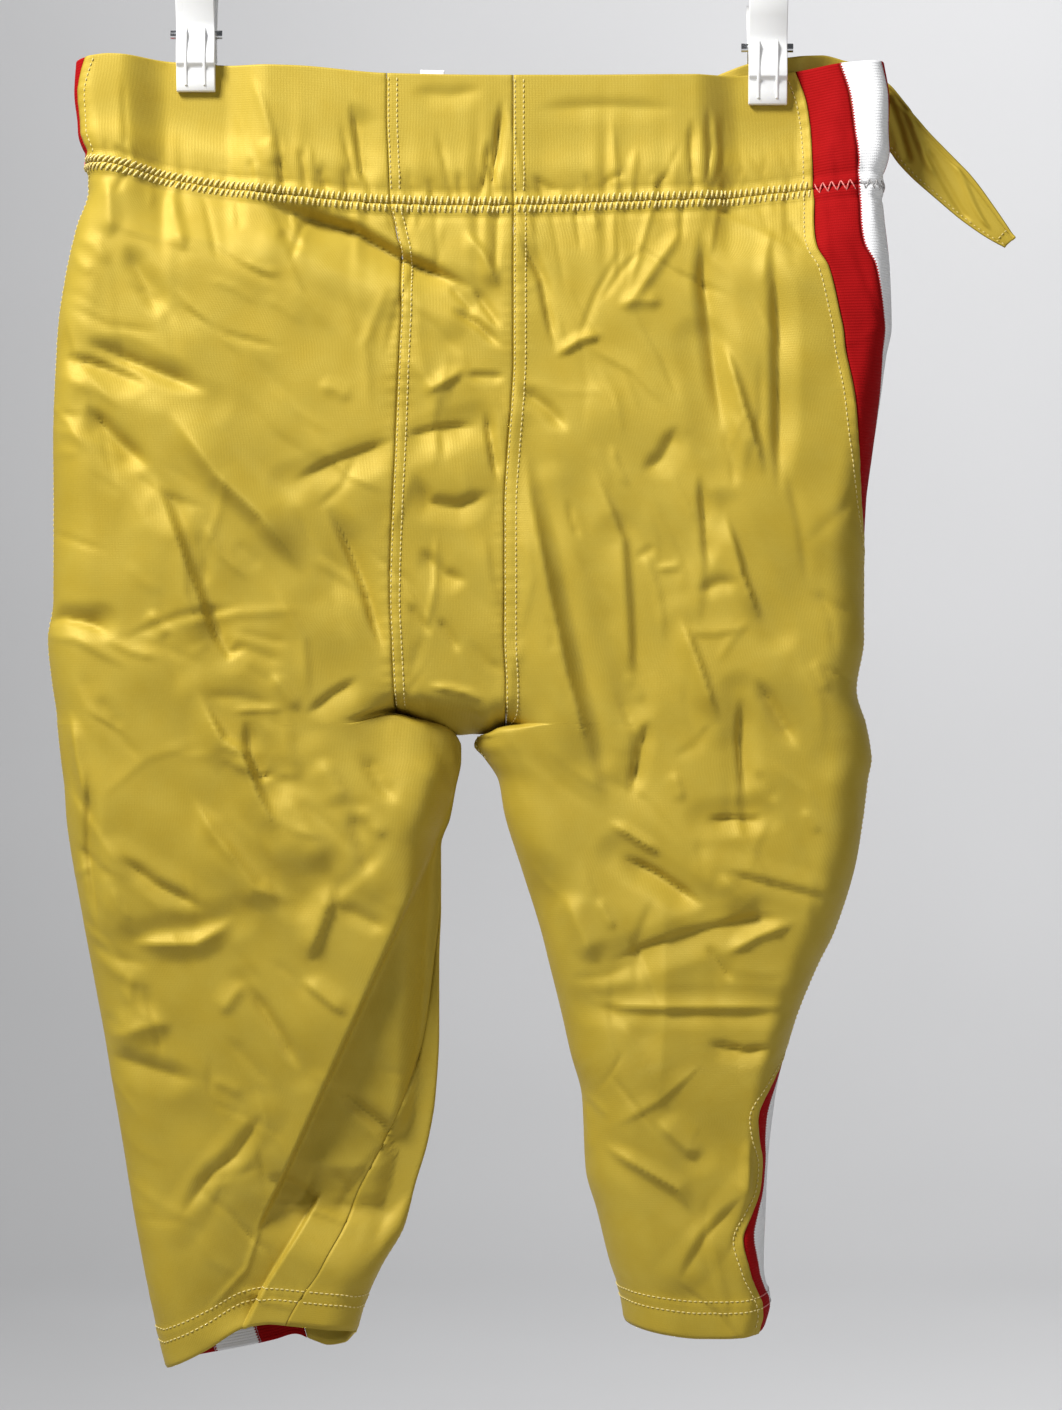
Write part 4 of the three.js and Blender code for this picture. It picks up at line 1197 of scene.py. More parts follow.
def add_object(name: str, data: ID) -> Object:
    """Adds an object to the scene.

    Args:
        name: Its name.
        data: Its mesh, light or camera.

    Returns:
        The object.
    """
    made = bpy.data.objects.new(name, data)
    bpy.context.scene.collection.objects.link(made)
    return made


def link_mesh(name: str, points: Array, faces: Array) -> Object:
    """Makes a smooth mesh piece from points in millimetres.

    Args:
        name: Name of the piece.
        points: Points, one row each.
        faces: Corner numbers of four-sided faces, one row each.

    Returns:
        The piece, in the scene.
    """
    mesh = bpy.data.meshes.new(name)
    mesh.from_pydata((points * MM).tolist(), [], faces.tolist())
    mesh.polygons.foreach_set("use_smooth", np.ones(len(faces), bool))
    return add_object(name, mesh)


def set_uv(piece: Object, u: Array, v: Array) -> None:
    """Lays out a piece's texture places in metres.

    Args:
        piece: The piece.
        u: Place across of each vertex.
        v: Place down of each vertex.
    """
    mesh = piece.data
    corners = np.empty(len(mesh.loops), np.int32)
    mesh.loops.foreach_get("vertex_index", corners)
    layer = mesh.uv_layers.new(name="flat")
    layer.data.foreach_set("uv", np.stack((u[corners], v[corners]), axis=1).ravel())


def select_only(piece: Object) -> None:
    """Selects a piece alone and makes it the active one."""
    bpy.ops.object.select_all(action="DESELECT")
    bpy.context.view_layer.objects.active = piece
    piece.select_set(True)


def apply_modifier(piece: Object, name: str) -> None:
    """Applies one of a piece's modifiers."""
    select_only(piece)
    bpy.ops.object.modifier_apply(modifier=name)


def add_bevel(piece: Object, radius: float, segments: int, degrees: float) -> str:
    """Rounds a piece's sharp edges with a modifier.

    Args:
        piece: The piece.
        radius: Radius in millimetres.
        segments: Faces across each rounded edge.
        degrees: Least angle of an edge that is rounded.

    Returns:
        The modifier's name.
    """
    bevel = piece.modifiers.new("edges", "BEVEL")
    bevel.width, bevel.segments = radius * MM, segments
    bevel.limit_method = "ANGLE"
    bevel.angle_limit = math.radians(degrees)
    return bevel.name


def grid_faces(rows: int, columns: int, flip: int) -> Array:
    """Four-sided faces of a grid of points.

    Args:
        rows: Number of rows.
        columns: Number of columns.
        flip: 1 or -1, for the side that faces outward.

    Returns:
        Corner numbers, one row a face.
    """
    corner = np.arange(rows * columns).reshape(rows, columns)
    a, b = corner[:-1, :-1].ravel(), corner[:-1, 1:].ravel()
    c, d = corner[1:, 1:].ravel(), corner[1:, :-1].ravel()
    return np.stack((a, b, c, d) if flip > 0 else (d, c, b, a), axis=1)


@dataclass(frozen=True)
class Look:
    """A material with its slot."""

    slot: Slot
    material: Material


def shell(name: str, patch: Patch, wall: float = WALL) -> Object:
    """Turns a patch into a thin closed sheet of cloth.

    Args:
        name: Name of the piece.
        patch: The outer face.
        wall: Thickness in millimetres.

    Returns:
        The piece.
    """
    rows, columns = patch.shape
    piece = link_mesh(name, patch.points.reshape(-1, 3), grid_faces(rows, columns, patch.flip))
    across, down = patch.flat_places()
    set_uv(piece, across.ravel() * MM, down.ravel() * MM)
    solidify = piece.modifiers.new("wall", "SOLIDIFY")
    solidify.thickness = wall * MM
    solidify.offset = -1
    apply_modifier(piece, solidify.name)
    return piece


def dress(piece: Object, look: Look, *nodes: str) -> None:
    """Gives a piece its material, hangs it from the root and hides the CAD nodes that it takes the place of.

    Args:
        piece: The piece.
        look: Its slot and material.
        nodes: CAD nodes that it takes the place of.
    """
    piece.data.materials.clear()
    piece.data.materials.append(look.material)
    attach(piece, "root")
    if nodes:
        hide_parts(*nodes)
    LOG.info("%s: %d faces", piece.name, len(piece.data.polygons))


def add_sheet(patch: Patch, name: str, node: str, look: Look, held: str, *rests_on: str,
              wall: float = WALL) -> None:
    """Args:
        patch: Its form.
        name: The piece's name.
        node: The CAD node that it takes the place of.
        look: Its slot and material.
        held: How it is held. Not used.
        rests_on: The pieces that hold it. Not used.
        wall: Its thickness in millimetres.
    """
    piece = shell(name, patch, wall)
    dress(piece, look, node)
    width, length, area = patch.cut_size()


# --- Stitching ---


@dataclass
class Thread:
    """Gathers the stitches of one colour and makes them as one piece."""

    name: str
    radius: float
    sides: int = 5
    inset: float = 0.4
    strokes: list = field(default_factory=list)

    def add(self, start: Array, middle: Array, end: Array, normal: Array) -> None:
        """Adds stitches: where they come out, are highest and go in, with the cloth's normals."""
        self.strokes.append((start, middle, end, normal))

    def run_along(self, rail: Rail, length: float = 2.0, gap: float = 0.8) -> None:
        """Adds a row of straight stitches along a line.

        Args:
            rail: The line.
            length: Length of a stitch.
            gap: Gap between two stitches.
        """
        starts = np.arange(self.inset, rail.run[-1] - length, length + gap)
        if len(starts):
            middle, normal = rail.at(starts + length / 2)
            self.add(rail.at(starts)[0], middle, rail.at(starts + length)[0], normal)

    def ring_points(self) -> Array:
        """Works out the rings of points round every stitch.

        Returns:
            Points: stitches by ring points by 3.
        """
        start, middle, end, normal = (np.concatenate(column) for column in zip(*self.strokes))
        across = unit(np.cross(unit(end - start), normal))
        rings = []
        for share, width, lift in STITCH_RINGS:
            bow = 4 * share * (1 - share)
            centre = mix(start, end, share) + (middle - (start + end) / 2) * bow
            centre = centre + normal * (lift * self.radius)
            for k in range(self.sides):
                angle = 2 * math.pi * k / self.sides
                offset = across * math.cos(angle) + normal * math.sin(angle)
                rings.append(centre + offset * (width * self.radius))
        return np.stack(rings, axis=1)

    def make(self, look: Look) -> None:
        """Makes all the stitches as one piece with a material."""
        points = self.ring_points()
        count, block = points.shape[:2]
        faces = []
        for corner in range(block - self.sides):
            after = corner + 1 if (corner + 1) % self.sides else corner + 1 - self.sides
            faces.append((corner, after, after + self.sides, corner + self.sides))
        faces = (np.array(faces)[None] + (np.arange(count) * block)[:, None, None]).reshape(-1, 4)
        piece = link_mesh(self.name, points.reshape(-1, 3), faces[:, ::-1])
        places = np.tile(np.repeat([ring[0] for ring in STITCH_RINGS], self.sides), count)
        set_uv(piece, places * 3 * MM, np.arange(len(places)) // block * MM)
        dress(piece, look)


# --- Finishes ---


@dataclass
class Graph:
    """A node tree with short ways to fill it."""

    tree: NodeTree

    def node(self, kind: str, inputs: dict | None = None, **settings: object) -> Node:
        """Adds a node.

        Args:
            kind: Its type, without the leading "ShaderNode".
            inputs: Values or sockets for its inputs, by name or number.
            settings: Its own settings.

        Returns:
            The node.
        """
        made = self.tree.nodes.new(kind if kind.startswith("Node") else "ShaderNode" + kind)
        for name, value in settings.items():
            setattr(made, name, value)
        for key, value in (inputs or {}).items():
            if isinstance(value, NodeSocket):
                self.tree.links.new(value, made.inputs[key])
            else:
                made.inputs[key].default_value = value
        return made

    def math(self, operation: str, a: object, b: object = 0.0, c: object = 0.0) -> NodeSocket:
        """Adds a sum and returns its result."""
        return self.node("Math", {0: a, 1: b, 2: c}, operation=operation).outputs[0]

    def times(self, a: object, b: object) -> NodeSocket:
        """Adds a product and returns it."""
        return self.math("MULTIPLY", a, b)

    def plus(self, a: object, b: object) -> NodeSocket:
        """Adds an addition and returns its result."""
        return self.math("ADD", a, b)

    def scaled(self, value: object, scale: object, shift: object) -> NodeSocket:
        """Adds a product with a shift and returns its result."""
        return self.math("MULTIPLY_ADD", value, scale, shift)

    def clamped(self, value: object) -> NodeSocket:
        """Keeps a value between 0 and 1."""
        return self.math("MAXIMUM", self.math("MINIMUM", value, 1.0), 0.0)

    def wave(self, place: object, rate: object) -> NodeSocket:
        """Adds a sine of so many turns a metre and returns it."""
        return self.math("SINE", self.times(self.times(place, rate), 2 * math.pi))

    def flat(self) -> NodeSocket:
        """Places on the flat cloth."""
        return self.node("UVMap", uv_map="flat").outputs[0]

    def blend(self, share: object, a: object, b: object) -> NodeSocket:
        """Adds a blend of two colours and returns its result."""
        return self.node("Mix", {0: share, 6: a, 7: b}, data_type="RGBA").outputs[2]

    def noise(self, places: NodeSocket, scale: float, detail: float = 3.0) -> NodeSocket:
        """Adds a noise and returns its value."""
        return self.node("TexNoise", {"Vector": places, "Scale": scale, "Detail": detail}).outputs[0]


def new_group(name: str, inputs: dict, outputs: dict) -> Graph:
    """Makes a node group for an effect that several finishes share.

    Args:
        name: Its name.
        inputs: Default value of each input by name.
        outputs: Socket type of each output by name.

    Returns:
        The group's graph, with nodes named "in" and "out".
    """
    tree = bpy.data.node_groups.new(name, "ShaderNodeTree")
    for key, value in inputs.items():
        kind = "NodeSocketFloat" if isinstance(value, float) else "NodeSocketColor"
        socket = tree.interface.new_socket(key, in_out="INPUT", socket_type=kind)
        socket.default_value = value
    for key, kind in outputs.items():
        tree.interface.new_socket(key, in_out="OUTPUT", socket_type=kind)
    graph = Graph(tree)
    graph.node("NodeGroupInput", name="in")
    graph.node("NodeGroupOutput", name="out")
    return graph


def knit_group() -> NodeTree:
    """The fine wales and courses of a knit, with its slow changes of colour and painted shade in its
    hollows.

    Returns:
        The node group.
    """
    graph = new_group(
        "knit surface",
        {"Color": (0.6, 0.5, 0.1, 1), "Tint": (0.6, 0.4, 0.1, 1), "Wale": 1400.0, "Course": 900.0,
         "Ribs": 0.3, "Roughness": 0.5},
        {"Base Color": "NodeSocketColor", "Roughness": "NodeSocketFloat", "Bump Height": "NodeSocketFloat"},
    )
    source, sink = graph.tree.nodes["in"].outputs, graph.tree.nodes["out"].inputs
    places = graph.flat()
    across, along = graph.node("SeparateXYZ", {0: places}).outputs[:2]
    wander = graph.times(graph.noise(places, 60.0), 0.0011)
    wales = graph.wave(graph.plus(across, wander), source["Wale"])
    courses = graph.wave(along, source["Course"])
    rest = graph.math("SUBTRACT", 1.0, source["Ribs"])
    knit = graph.plus(graph.times(wales, rest), graph.times(courses, source["Ribs"]))
    height = graph.plus(graph.times(knit, 0.4), graph.noise(places, 2600.0, 2.0))
    patchy = graph.noise(places, 70.0, 5.0)
    share = graph.scaled(graph.plus(graph.noise(places, 9.0, 4.0), patchy), 1.6, -1.1)
    tinted = graph.blend(graph.clamped(share), source["Color"], source["Tint"])
    # Painted shade: the base colour is darker in the knit's hollows, where the bump is low.
    shade = graph.scaled(height, 0.07, 0.95)
    hollow_shaded = graph.node("VectorMath", {0: tinted, 1: shade}, operation="MULTIPLY").outputs[0]
    rough = graph.scaled(patchy, 0.14, graph.math("SUBTRACT", source["Roughness"], 0.07))
    for key, made in (("Base Color", hollow_shaded), ("Roughness", rough), ("Bump Height", height)):
        graph.tree.links.new(made, sink[key])
    return graph.tree


class Finish:
    """A material with its Principled shader, for the finishes below to fill."""

    def __init__(self, name: str) -> None:
        """Makes an empty material."""
        self.material = bpy.data.materials.new(name)
        self.material.use_nodes = True
        self.graph = Graph(self.material.node_tree)
        self.shader = self.material.node_tree.nodes["Principled BSDF"]

    def put(self, **inputs: object) -> None:
        """Sets inputs of the shader: values directly, sockets by a link."""
        for key, value in inputs.items():
            socket = self.shader.inputs[key.replace("_", " ")]
            if isinstance(value, NodeSocket):
                self.material.node_tree.links.new(value, socket)
            else:
                socket.default_value = value

    def bump(self, height: NodeSocket, depth: float, strength: float = 1.0) -> None:
        """Makes the surface rise and fall."""
        node = self.graph.node("Bump", {"Strength": strength, "Distance": depth, "Height": height})
        self.put(Normal=node.outputs[0])


@dataclass(frozen=True)
class KnitFinish:
    """A knitted cloth."""

    name: str
    color: tuple
    tint: tuple
    roughness: float
    wale: float = 1250.0
    course: float = 800.0
    ribs: float = 0.3
    metallic: float = 0.0
    specular: float = 0.35
    sheen: float = 0.2
    sheen_color: tuple = (1, 1, 1, 1)
    depth: float = 0.00008
    tooth: float = 0.0
    tooth_color: tuple = (1, 1, 1, 1)

    def build(self, group: NodeTree) -> Material:
        """Makes the material.

        Args:
            group: The shared knit surface.

        Returns:
            The material.
        """
        finish = Finish(self.name)
        graph = finish.graph
        knit = graph.node("Group", {"Color": self.color, "Tint": self.tint, "Wale": self.wale,
                                    "Course": self.course, "Ribs": self.ribs,
                                    "Roughness": self.roughness}, node_tree=group).outputs
        color = self.toothed(graph, knit["Base Color"]) if self.tooth else knit["Base Color"]
        finish.put(Base_Color=color, Roughness=knit["Roughness"], Metallic=self.metallic,
                   Specular_IOR_Level=self.specular)
        finish.put(Sheen_Weight=self.sheen, Sheen_Roughness=0.4, Sheen_Tint=self.sheen_color)
        finish.bump(knit["Bump Height"], self.depth)
        return finish.material

    def toothed(self, graph: Graph, color: NodeSocket) -> NodeSocket:
        """Adds the stitches of the neighbouring colour along both long edges of a braid.

        Args:
            graph: The material's graph.
            color: The braid's own colour.

        Returns:
            The colour with the stitches.
        """
        half = STRIPE * MM / 2
        across, along = graph.node("SeparateXYZ", {0: graph.flat()}).outputs[:2]
        from_middle = graph.math("ABSOLUTE", graph.math("SUBTRACT", across, half))
        wave = graph.math("SINE", graph.times(along, 2 * math.pi * self.course))
        edge = graph.scaled(wave, self.tooth / 2, half - self.tooth)
        return graph.blend(graph.math("GREATER_THAN", from_middle, edge), color, self.tooth_color)


@dataclass(frozen=True)
class ThreadFinish:
    """Sewing thread."""

    name: str
    color: tuple
    groove_shade: tuple

    def build(self) -> Material:
        """Makes the material, with the thread's twist and painted shade in its grooves."""
        finish = Finish(self.name)
        graph = finish.graph
        twist = graph.node("TexWave", {"Vector": graph.flat(), "Scale": 700.0, "Distortion": 1.0},
                           bands_direction="DIAGONAL").outputs["Fac"]
        # Painted shade: the colour turns to the darker groove tone where the twist's bump is low.
        finish.put(Base_Color=graph.blend(twist, self.groove_shade, self.color), Roughness=0.55)
        finish.put(Sheen_Weight=0.3)
        finish.bump(twist, 0.0001)
        return finish.material


@dataclass(frozen=True)
class PlasticFinish:
    """Moulded plastic."""

    name: str
    color: tuple
    shade: tuple
    roughness: float = 0.3

    def build(self) -> Material:
        """Makes the material, a little uneven in gloss and colour."""
        finish = Finish(self.name)
        graph = finish.graph
        places = graph.node("TexCoord").outputs["Object"]
        slow = graph.noise(places, 40.0)
        fine = graph.noise(places, 900.0)
        finish.put(Base_Color=graph.blend(slow, self.color, self.shade))
        finish.put(Roughness=graph.math("MULTIPLY_ADD", slow, 0.18, self.roughness - 0.09))
        finish.put(Subsurface_Weight=0.08, Subsurface_Radius=(0.004, 0.004, 0.003), Coat_Weight=0.15)
        finish.bump(fine, 0.00004, 0.4)
        return finish.material


@dataclass(frozen=True)
class MetalFinish:
    """Plated wire."""

    name: str
    color: tuple
    shade: tuple

    def build(self) -> Material:
        """Makes the material, with faint drawing marks."""
        finish = Finish(self.name)
        graph = finish.graph
        places = graph.node("TexCoord").outputs["Object"]
        marks = graph.noise(places, 600.0)
        finish.put(Base_Color=graph.blend(marks, self.color, self.shade), Metallic=1.0)
        finish.put(Roughness=graph.math("MULTIPLY_ADD", marks, 0.15, 0.12))
        finish.bump(marks, 0.00003, 0.4)
        return finish.material


@dataclass(frozen=True)
class PaperFinish:
    """The matt backdrop, with painted light: lighter towards the right and the top."""

    name: str
    # The two tones are painted light: near is the darker one, at the left and bottom; far is the lighter
    # one, at the right and top.
    near: tuple
    far: tuple

    def build(self) -> Material:
        """Makes the material."""
        finish = Finish(self.name)
        graph = finish.graph
        places = graph.node("TexCoord").outputs["Object"]
        split = graph.node("SeparateXYZ", {0: places}).outputs
        # Painted light: the colour runs from the darker near tone to the lighter far tone towards the right
        # and the top.
        lean = graph.plus(graph.times(split[0], 0.28), graph.times(split[2], 0.26))
        slow = graph.times(graph.noise(places, 1.2, 2.0), 0.3)
        share = graph.clamped(graph.plus(graph.plus(lean, 0.35), slow))
        finish.put(Base_Color=graph.blend(share, self.near, self.far), Roughness=0.9)
        finish.put(Specular_IOR_Level=0.1)
        finish.bump(graph.noise(places, 300.0), 0.0002, 0.3)
        return finish.material


class Palette:
    """All the finishes, each with its slot."""

    def __init__(self) -> None:
        """Builds each material once."""
        knit = knit_group()
        red = (0.34, 0.002, 0.003, 1)
        white = (0.93, 0.93, 0.93, 1)
        braid = {"wale": 1000.0, "course": 640.0, "ribs": 0.8, "depth": 0.00016}
        self.gold = Look(Slot.GOLD, KnitFinish(
            "gold satin knit", (0.47, 0.345, 0.040, 1), (0.44, 0.31, 0.026, 1), 0.56, metallic=0.15,
            specular=0.28, sheen=0.05, sheen_color=(0.9, 0.8, 0.45, 1)).build(knit))
        self.red = Look(Slot.RED, KnitFinish(
            "red knit braid", red, (0.28, 0.0015, 0.002, 1), 0.85, sheen=0.0, specular=0.12,
            **braid).build(knit))
        self.white = Look(Slot.WHITE, KnitFinish(
            "white knit braid", white, (0.86, 0.86, 0.87, 1), 0.8, sheen=1.0, tooth=0.0009,
            tooth_color=red, **braid).build(knit))
        self.tape = Look(Slot.TAPE, KnitFinish(
            "white tape", white, (0.82, 0.81, 0.79, 1), 0.5, wale=2500.0, course=2500.0).build(knit))
        # Each thread's second colour is painted shade for the grooves of its twist.
        self.gold_thread = Look(Slot.GOLD, ThreadFinish(
            "pale gold thread", (0.82, 0.69, 0.26, 1), (0.62, 0.48, 0.13, 1)).build())
        self.pink_thread = Look(Slot.RED, ThreadFinish(
            "pink thread", (0.80, 0.25, 0.22, 1), (0.62, 0.12, 0.1, 1)).build())
        self.grey_thread = Look(Slot.WHITE, ThreadFinish(
            "grey thread", (0.52, 0.50, 0.48, 1), (0.36, 0.34, 0.33, 1)).build())
        self.plastic = Look(Slot.PLASTIC, PlasticFinish(
            "white plastic", (0.86, 0.86, 0.85, 1), (0.82, 0.82, 0.81, 1)).build())
        self.chrome = Look(Slot.CHROME, MetalFinish(
            "chrome wire", (0.80, 0.81, 0.83, 1), (0.70, 0.71, 0.73, 1)).build())
        # The backdrop's two tones are painted light: darker at the left and bottom, lighter at the right and
        # top.
        self.paper = PaperFinish("backdrop paper", (0.57, 0.57, 0.575, 1), (0.80, 0.80, 0.81, 1)).build()


# --- The pants ---


@dataclass
class SeamWork:
    """Fine relief along the sewn edges of a patch, in millimetres.

    Each method takes the distance from the edge (away), the length along it (run) and a seed for its
    ripples, and gives heights.
    """

    groove: float = 0.5
    fell: float = 0.45
    roll: float = 0.5
    hem: float = 0.5
    ripple: float = 0.28
    dent: float = 0.35
    dent_width: float = 0.9
    first_row: float = 0.9
    hem_rows: tuple[float, float] = (14.0, 20.3)
    braid_row: float = 5.4
    gusset_row: float = 5.4
    right_row: float = 6.5
    top_radius: float = 0.9

    def dented(self, away: Array, at: float) -> Array:
        """The dent of a row of stitches at a distance."""
        return -self.dent * bell(away - at, self.dent_width)

    def waves(self, away: Array, run: Array, seed: float, at: float, width: float) -> Array:
        """Ripples along a stretch at a distance, so wide."""
        return self.ripple * pucker(run, seed) * bell(away - at, width)

    def felled(self, away: Array, run: Array, width: float, seed: float) -> Array:
        """A flat-felled seam with its second row at a width, on its allowance's side."""
        band = smooth(0, 1.2, away) * (1 - smooth(width - 0.3, width + 1.6, away))
        rows = self.dented(away, width) - 0.3 * bell(away - self.first_row, 0.8)
        waves = self.waves(away, run, seed, width / 2, width * 0.9)
        return self.fell * band + rows + waves - self.groove * bell(away, 0.9)

    def plain(self, away: Array, run: Array, seed: float) -> Array:
        """The other side of such a seam."""
        return self.waves(away, run, seed, 2, 3.5) - self.groove * bell(away, 1.0)

    def folded(self, away: Array, run: Array, seed: float) -> Array:
        """A folded edge that is stitched down over the braid."""
        edge = self.roll * (1 - smooth(0.0, 2.6, away)) - self.roll * bell(away, 0.45)
        waves = self.dented(away, self.braid_row) + self.waves(away, run, seed, 3, 3.6)
        return edge + waves + 0.25 * (1 - smooth(4.8, 7.5, away))

    def hemmed(self, away: Array, run: Array, seed: float) -> Array:
        """A turned-up hem with two rows of stitches."""
        low, high = self.hem_rows
        band = self.hem * (1 - smooth(high, high + 1.5, away)) * smooth(-0.2, 0.8, away)
        rows = self.dented(away, low) + self.dented(away, high)
        return band + rows + 1.5 * self.waves(away, run, seed, (low + high) / 2, 6.5)

    def waist(self, away: Array, run: Array, seed: float) -> Array:
        """One side of the gathered seam under the waistband."""
        band = 0.55 * (1 - smooth(4.2, 5.8, away)) - 0.45 * bell(away - 6.8, 1.8)
        return 1.5 * self.waves(away, run, seed, 3, 5) + band - 0.2 * bell(away, 0.8)

    def top_roll(self, away: Array) -> Array:
        """The folded top edge of the waistband."""
        inside = np.clip(self.top_radius - away, 0, self.top_radius)
        return np.sqrt(self.top_radius**2 - inside**2) - self.top_radius


@dataclass
class Pants:
    """The garment: its panels, bands, braids and stitches."""

    cloth: Cloth
    palette: Palette
    work: SeamWork = field(default_factory=SeamWork)
    patches: dict = field(default_factory=dict)
    back_columns: int = 122
    front_columns: int = 66
    braid_columns: int = 14
    band_columns: tuple[int, int] = (110, 70)
    gusset_columns: int = 42
    fly_columns: int = 22
    fine_drops: tuple[float, float] = (337, 366)
    fade: float = 14.0
    band_puff: tuple[float, float, float] = (1.3, 17, 9)

    def build(self) -> None:
        """Builds all the cloth in the order in which it is sewn."""
        for leg in (LEFT, RIGHT):
            self.panels(leg)
            self.braids(leg, "stripe", self.cloth.panel_drops())
            self.waistband(leg)
            self.braids(leg, "waist_stripe", self.cloth.band_drops())
        self.centre()
        self.sew()

    def add(self, name: str, patch: Patch, relief: Array, *rests_on: str, look: Look | None = None,
            held: str = "hung") -> None:
        """Makes a piece, and keeps its patch for the stitches.

        Args:
            name: The CAD node's name, to which the piece's name adds "_cloth".
            patch: Its form.
            relief: Heights of its seams above that form.
            rests_on: What it hangs from.
            look: Its slot and material, if it isn't gold.
            held: How it is held.
        """
        patch.raise_by(relief)
        self.patches[name] = patch
        add_sheet(patch, name + "_cloth", name, look or self.palette.gold, held, *rests_on)

    def below_waist(self, patch: Patch, seed: float) -> Array:
        """Relief of a patch along the waistband's seam and the hem, with a seed."""
        x = patch.points[..., 0]
        drop = np.broadcast_to(patch.drops[:, None], patch.shape)
        return self.work.waist(drop - BAND_DEPTH, x, seed) + self.work.hemmed(HEM - drop, x, seed + 1)

    def fades(self, drop: Array, start: float, rest: float) -> Array:
        """1 above a drop, falling to a rest below it."""
        return mix(1, rest, smooth(start, start + self.fade, drop))

    def panels(self, leg: Leg) -> None:
        """Builds the back and front panels of a leg.

        Args:
            leg: The leg.
        """
        work, drops = self.work, self.cloth.panel_drops()
        down = drops[:, None]
        patch = self.cloth.leg_patch(leg, drops, (Line.BACK_INSEAM, Line.BRAID_1), self.back_columns,
                                     Tuck.START)
        if leg.side < 0:
            inner = work.plain(patch.from_start, down, 1.0) * self.fades(down, CROTCH - 4, 0.2)
        else:
            inner = work.felled(patch.from_start, down, work.right_row, 2.0)
            inner = inner * self.fades(down, CROTCH + 14, 0.1)
        relief = inner + work.folded(patch.from_end, down, 3.0 + leg.side)
        self.add(f"back_{leg.word}", patch, relief + self.below_waist(patch, 5.0 + leg.side),
                 f"waistband_back_{leg.word}_cloth")
        first, last = self.fine_drops
        coarse = np.concatenate((drops[drops < first][::2], drops[(drops >= first) & (drops <= last)],
                                 drops[drops > last][::2]))
        coarse[-1] = HEM
        down = coarse[:, None]
        patch = self.cloth.leg_patch(leg, coarse, (Line.BRAID_END, Line.FRONT_INSEAM),
                                     self.front_columns, Tuck.END)
        relief = work.plain(patch.from_end, down, 7.0) * self.fades(down, CROTCH - 4, 0.2)
        relief = relief + work.folded(patch.from_start, down, 8.0)
        self.add(f"front_{leg.word}", patch, relief + self.below_waist(patch, 9.0 + leg.side),
                 f"waistband_front_{leg.word}_cloth")

    def braids(self, leg: Leg, kind: str, drops: Array) -> None:
        """Builds a leg's three braids, below the waistband or where they cross it.

        Args:
            leg: The leg.
            kind: First word of their names.
            drops: Drops of their rows.
        """
        for i, look in enumerate((self.palette.red, self.palette.white, self.palette.red)):
            patch = self.cloth.leg_patch(leg, drops, (Line(i), Line(i + 1)), self.braid_columns)
            ends = (0 if i == 1 else 0.5) * (1 - smooth(0, 1.6, patch.from_end if i else patch.from_start))
            joins = bell(patch.from_start, 0.5) * (i > 0) + bell(patch.from_end, 0.5) * (i < 2)
            relief = -ends - 0.15 * joins
            name = f"{kind}_{leg.word}_{i + 1}"
            if kind == "stripe":
                relief = relief + self.below_waist(patch, 4.0 + i)
                self.add(name, patch, relief, f"waist_{name}_cloth", look=look)
            else:
                relief = relief + self.band_relief(patch, 3.0 + i)
                self.add(name, patch, relief, f"clip_{leg.word}_front_jaw", look=look, held="gathered")

    def waistband(self, leg: Leg) -> None:
        """Builds the side parts of the waistband.

        Args:
            leg: The leg.
        """
        drops = self.cloth.band_drops()
        down = drops[:, None]
        ends = ((Line.BACK_INSEAM, Line.BRAID_1), (Line.BRAID_END, Line.FRONT_INSEAM))
        for part, lines, columns in zip(("back", "front"), ends, self.band_columns):
            patch = self.cloth.leg_patch(leg, drops, lines, columns)
            seam, edge = patch.from_start, patch.from_end
            if part == "front":
                seam, edge = edge, seam
            relief = self.work.plain(seam, down, 3.0) * 0.6 + self.work.folded(edge, down, 6.0)
            self.add(f"waistband_{part}_{leg.word}", patch,
                     relief + self.band_relief(patch, 2.0 + leg.side), f"clip_{leg.word}_front_jaw",
                     held="gathered")

    def band_relief(self, patch: Patch, seed: float, drop: Array | None = None) -> Array:
        """Relief of the waistband along its seam and its folded top edge.

        Args:
            patch: Its form.
            seed: Seed of the ripples.
            drop: Drops of its points, if they aren't the patch's own.

        Returns:
            Heights.
        """
        if drop is None:
            drop = np.broadcast_to(patch.drops[:, None], patch.shape)
        height, middle, width = self.band_puff
        puff = height * bell(BAND_DEPTH - drop - middle, width)
        seam = self.work.waist(BAND_DEPTH - drop, patch.points[..., 0], seed)
        return seam + self.work.top_roll(drop) + puff

